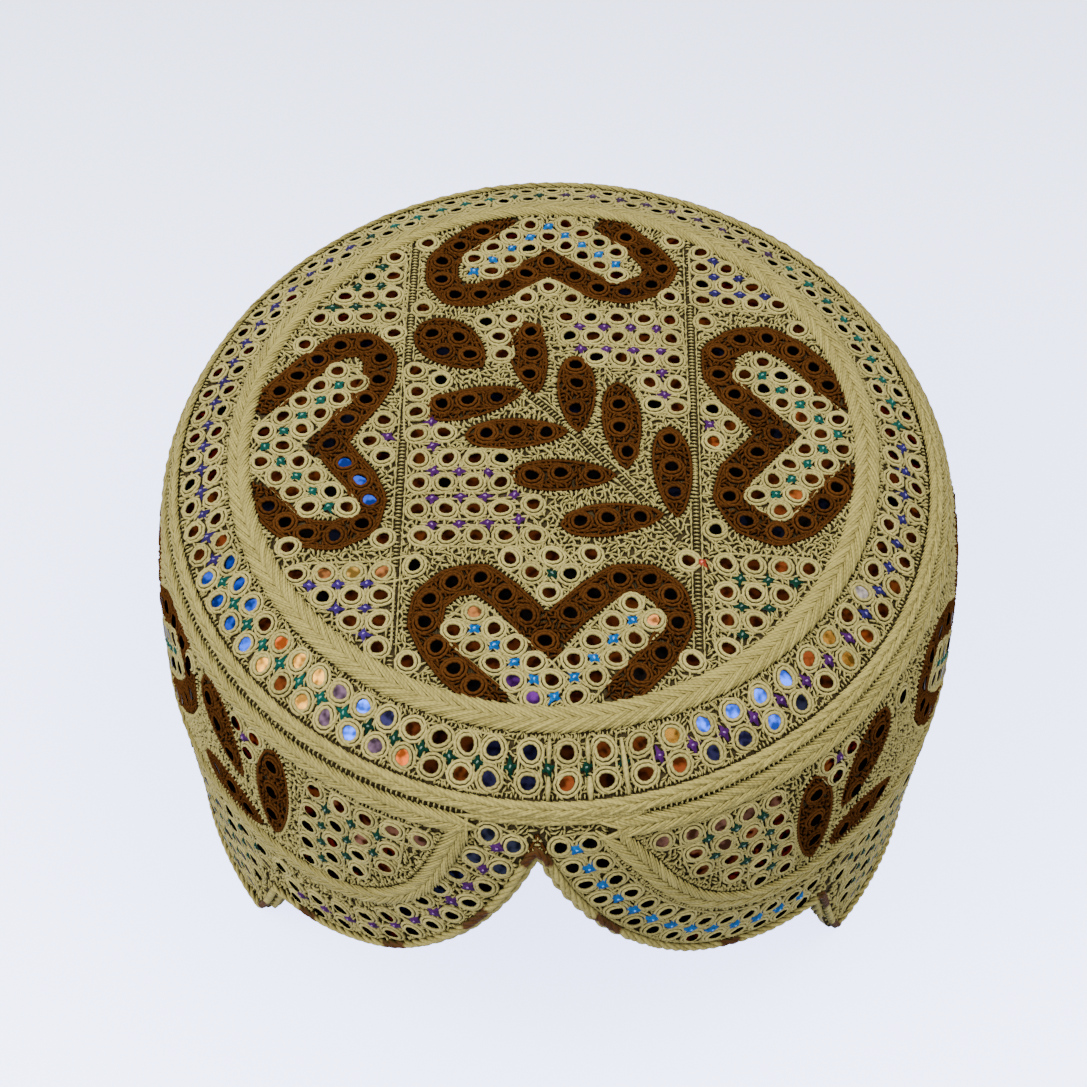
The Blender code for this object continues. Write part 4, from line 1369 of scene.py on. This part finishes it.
for line in SEAM_LINES:
    x, y, heading = walk(line, 1.0)
    places = np.stack([x, y], -1)
    free = ~covered("crown", places, 3.0) & ~brown_zone("crown", places, 0.6)
    free &= crown_reach(x, y) < 66
    add_seeds(spikes, ("crown", *places[free].T), heading[free] + pi / 2, 1.1, 0.32, 0.45)
    for shift in (-1.1, 1.1):
        x, y, heading = walk(offset_line(np.array(line, float), shift), 2.2)
        places = np.stack([x, y], -1)
        free = ~covered("crown", places, 2.9) & ~brown_zone("crown", places, 0.6)
        free &= crown_reach(x, y) < 66
        add_seeds(spikes, ("crown", *places[free].T), heading[free], 2.5, 0.34, 0.45)

hem_levels = (hem_line[:, 0], hem_line[:, 1])
for name, low, high, pitch in (("front_fill", -68, 68, 1.18), ("back_fill", 68, 292, 1.5)):
    points = jittered((radians(low) * ARC, 1.5), (radians(high) * ARC, SIDE_TOP - 0.6), pitch)
    lean = crown_lean(points[:, 0] / ARC)
    off_rim = abs(points[:, 1] - SEAM - 0.9 * lean) > 2.3
    points = points[(points[:, 1] < SIDE_TOP - 2.6 + lean) & off_rim]
    lean = 1.3 * crown_lean(points[:, 0] / ARC)
    front = abs(points[:, 0] / ARC - NOTCH_TURN) < PANEL_TIP
    points = points[(abs(points[:, 1] - PANEL_TOP_LENGTH - lean) > 2.9) | front]
    wrapped = (points[:, 0] + pi * ARC) % (tau * ARC) - pi * ARC
    bottom = np.interp(wrapped, *hem_levels)
    points = points[points[:, 1] > bottom + 2.2]
    points = points[~covered("side", points, 2.85) & ~covered("side", points, 1.35, ("knots",))]
    tip = abs(points[:, 0] / ARC - NOTCH_TURN) < PANEL_TIP + radians(1.5)
    points = points[panel_gap(points) > np.where(tip, 1.3, 2.9)]
    on_brown = brown_zone("side", points) | brown_zone("side", points - lap)
    near_brown = brown_zone("side", points, 0.9) | brown_zone("side", points - lap, 0.9)
    beyond = np.where(points[:, 0] < panel_bottom[0, 0], points[:, 0] + lap[0], points[:, 0])
    below = points[:, 1] < np.interp(beyond, *panel_bottom.T)
    turn = abs(points[:, 0] / ARC - NOTCH_TURN)
    kept_share = np.where(below, np.interp(turn, np.radians([14, 20, 34, 42]), [1, 0.7, 0.7, 0.5]), 1)
    fills = points[~near_brown & (dice.uniform(0, 1, len(points)) < kept_share)]
    size = pitch / 1.2
    add_seeds(
        cream_fill[name], ("side", *fills.T), dice.uniform(0, pi, len(fills)),
        dice.uniform(1.5, 2.2, len(fills)) * size ** 0.8, 0.38 * size ** 0.9, 0.30, 0.35,
    )
    fills = points[on_brown]
    add_seeds(
        brown_fill, ("side", *fills.T), dice.uniform(0, pi, len(fills)), 1.6 * size ** 0.8,
        0.42 * size ** 0.9, 0.34,
    )
for name, strands in cream_fill.items():
    strands.finish(name, cream_thread, "embroidered_cloth")
brown_fill.finish("brown_fill", brown_thread, "embroidered_cloth")
# Straight bars of thread between the mirrors over the forehead, two of them broken by a knot
BARS = ((-1.0, 3.6, 4.6), (-1.0, -3.6, 4.6), (5.0, 3.6, 4.6), (5.0, -3.6, 4.6), (10.4, 0, 11))
for degrees, shift, length in BARS:
    place = (np.array([radians(degrees) * ARC]), np.array([knot_length + shift]))
    add_seeds(spikes, ("side", *place), np.full(1, pi / 2), length, 0.62, 0.95, sides=5)
spikes.finish("edge_stitches", cream_thread, "embroidered_cloth")

# Plaits and cords. Thick cream thread is plaited round the crown, along the rim and round the
# panel, and sewn down flat. A twisted cord with short brown sections follows the hem.
PALE_BROWN = (0.19, 0.075, 0.028)
# Braid thread: a darker copy of the cream thread, painted shade for the deeper shadows among the plaits'
# threads
braid_thread = thread_material("braid_thread", (0.108, 0.085, 0.020), (0.262, 0.216, 0.060), 0.07)


def add_plait(strands, line, width, pitch, slant, radius, lift, arms=3, steps=5):
    """Herringbone plait along a line: long slanted arms of a few threads, dipping at both ends."""
    x, y, heading = walk(line, pitch)
    share = np.linspace(0, 1, steps)
    for side in (-1, 1):
        order = (np.arange(len(x)) + (0 if side < 0 else arms // 2)) % arms - (arms - 1) / 2
        swell = 1 + 0.10 * np.cos(tau * order / arms) + dice.normal(0, 0.03, len(x))
        reach = 1 + 0.05 * np.cos(tau * order / arms)
        across = side * (width / 2) * (share * 1.14 - 0.14) * reach[:, None]
        along = (0.5 - share) * slant - 0.22 * pitch * order[:, None] * (1 - share)
        local_x = np.cos(heading)[:, None] * along - np.sin(heading)[:, None] * across
        local_y = np.sin(heading)[:, None] * along + np.cos(heading)[:, None] * across
        height = lift * (0.40 + 0.68 * np.sin(pi * (0.10 + 0.82 * share)))[None] * swell[:, None]
        points, normals = laid(("side", x, y), np.stack([local_x, local_y], -1), height)
        taper = np.interp(share, [0, 0.2, 0.8, 1], [0.7, 1, 1, 0.6])
        thickness = radius * MM * taper * np.ones((len(x), 1))
        strands.add(points, normals, thickness, sides=4)


def add_pegs(strands, line, gap=0.95, length=0.95, lift=0.42):
    """Row of tiny upright stitches along a line on the side."""
    x, y, heading = walk(line, gap)
    free = ~covered("side", np.stack([x, y], -1), 2.9)
    add_seeds(strands, ("side", x[free], y[free]), heading[free] + pi / 2, length, 0.31, lift)


def add_rope(strands, line, length, core, radius, lift, plies=2, steps=8, closed=True, dye_at=None):
    """Twisted cord along a line, each ply one long thread that winds round the others."""
    x, y, heading = walk(line, length / steps)
    count = len(x)
    turns = max(1, round(count / steps))
    for ply in range(plies):
        angle = tau * (np.arange(count) * turns / count + ply / plies)
        across = core * np.cos(angle)
        place = np.stack([-np.sin(heading) * across, np.cos(heading) * across], -1)
        points, normals = laid(("side", x, y), place[:, None], (lift + core * np.sin(angle))[:, None])
        dye = (1, 1, 1) if dye_at is None else dye_at(x)[None]
        points, normals = points.reshape(1, -1, 3), normals.reshape(1, -1, 3)
        strands.add(points, normals, radius * MM, closed=closed, dye=dye)


def ring_line(length, start=-pi, end=pi, lean=0.0):
    """Line round the cap at a length up the cloth, level but for its share of the crown's lean."""
    turn = np.linspace(start, end, 181)
    return np.stack([ARC * turn, length + lean * crown_lean(turn)], -1)


plait = Strands()
add_plait(plait, ring_line(SIDE_TOP, lean=1), 5.5, 1.15 * ARC / 70.5, 7.2, 0.40, 1.1, steps=7)
plait.finish("crown_plait_threads", braid_thread, "cream_braid", "crown_plait")

rim = Strands()
add_plait(rim, ring_line(SEAM, lean=0.9), 3.2, 1.25 * ARC / 86.0, 6.8, 0.38, 1.2)
under_rim = ring_line(SEAM - 2.1, NOTCH_TURN - PANEL_TIP, NOTCH_TURN + PANEL_TIP + 0.06, 0.9)
add_plait(rim, under_rim, 2.2, 1.25, 5.5, 0.36, 0.9)
rim.finish("rim_cord_threads", braid_thread, "cream_braid", "rim_cord")

braid = Strands()
right_tip, left_tip = NOTCH_TURN + PANEL_TIP, NOTCH_TURN + tau - PANEL_TIP
panel_top = ring_line(PANEL_TOP_LENGTH, right_tip - 0.010, left_tip + 0.010, 1.3)
add_plait(braid, panel_bottom, 5.0, 1.35, 6.6, 0.40, 1.05)
add_plait(braid, panel_top, 4.6, 1.35, 6.6, 0.40, 1.05)
braid.finish("panel_braid_threads", braid_thread, "cream_braid", "panel_braid")

HEM_BROWN = (-50, -37, -22, -10, -2.2, 7, 25, 42, 49)


def hem_dye(arcs):
    """Cream, with short brown sections."""
    degrees = np.degrees(arcs / ARC)
    brown = (abs(degrees[:, None] - np.array(HEM_BROWN)) < 1.6).any(1)
    return np.where(brown[:, None], PALE_BROWN, (1, 1, 1))


hem_cord = Strands()
add_rope(hem_cord, offset_line(hem_line, 1.55), 8.0, 0.46, 0.56, 0.95, plies=3, steps=9, dye_at=hem_dye)
# The edge of the cut-out is rolled over two thicker cords
roll_turns = abs(hem_line[:, 0] / ARC - NOTCH_TURN)
roll = [k for k in range(1, len(hem_line)) if roll_turns[k] < SHOULDER["left"] + 0.7 * TIP_TURN]
for depth in (-0.35, -1.55):
    add_rope(hem_cord, hem_line[roll], 9.0, 0.40, 0.72, depth, closed=False)
hem_cord.finish("hem_cord_threads", braid_thread, "cream_braid", "hem_cord")

pegs = Strands()
add_pegs(pegs, ring_line(SIDE_TOP - 3.5, lean=1), 0.95 * ARC / 75)
add_pegs(pegs, ring_line(SEAM + 2.4, lean=0.9), 0.95 * ARC / 84)
add_pegs(pegs, ring_line(SEAM - 1.9, right_tip, left_tip, 1.1), 1.25, 1.3, 0.95)
add_pegs(pegs, offset_line(panel_bottom, 3.2))
add_pegs(pegs, offset_line(panel_bottom, -3.2))
add_pegs(pegs, ring_line(PANEL_TOP_LENGTH - 3.0, right_tip + 0.1, left_tip - 0.1, 1.3))
pegs.finish("peg_stitches", cream_thread, "embroidered_cloth")
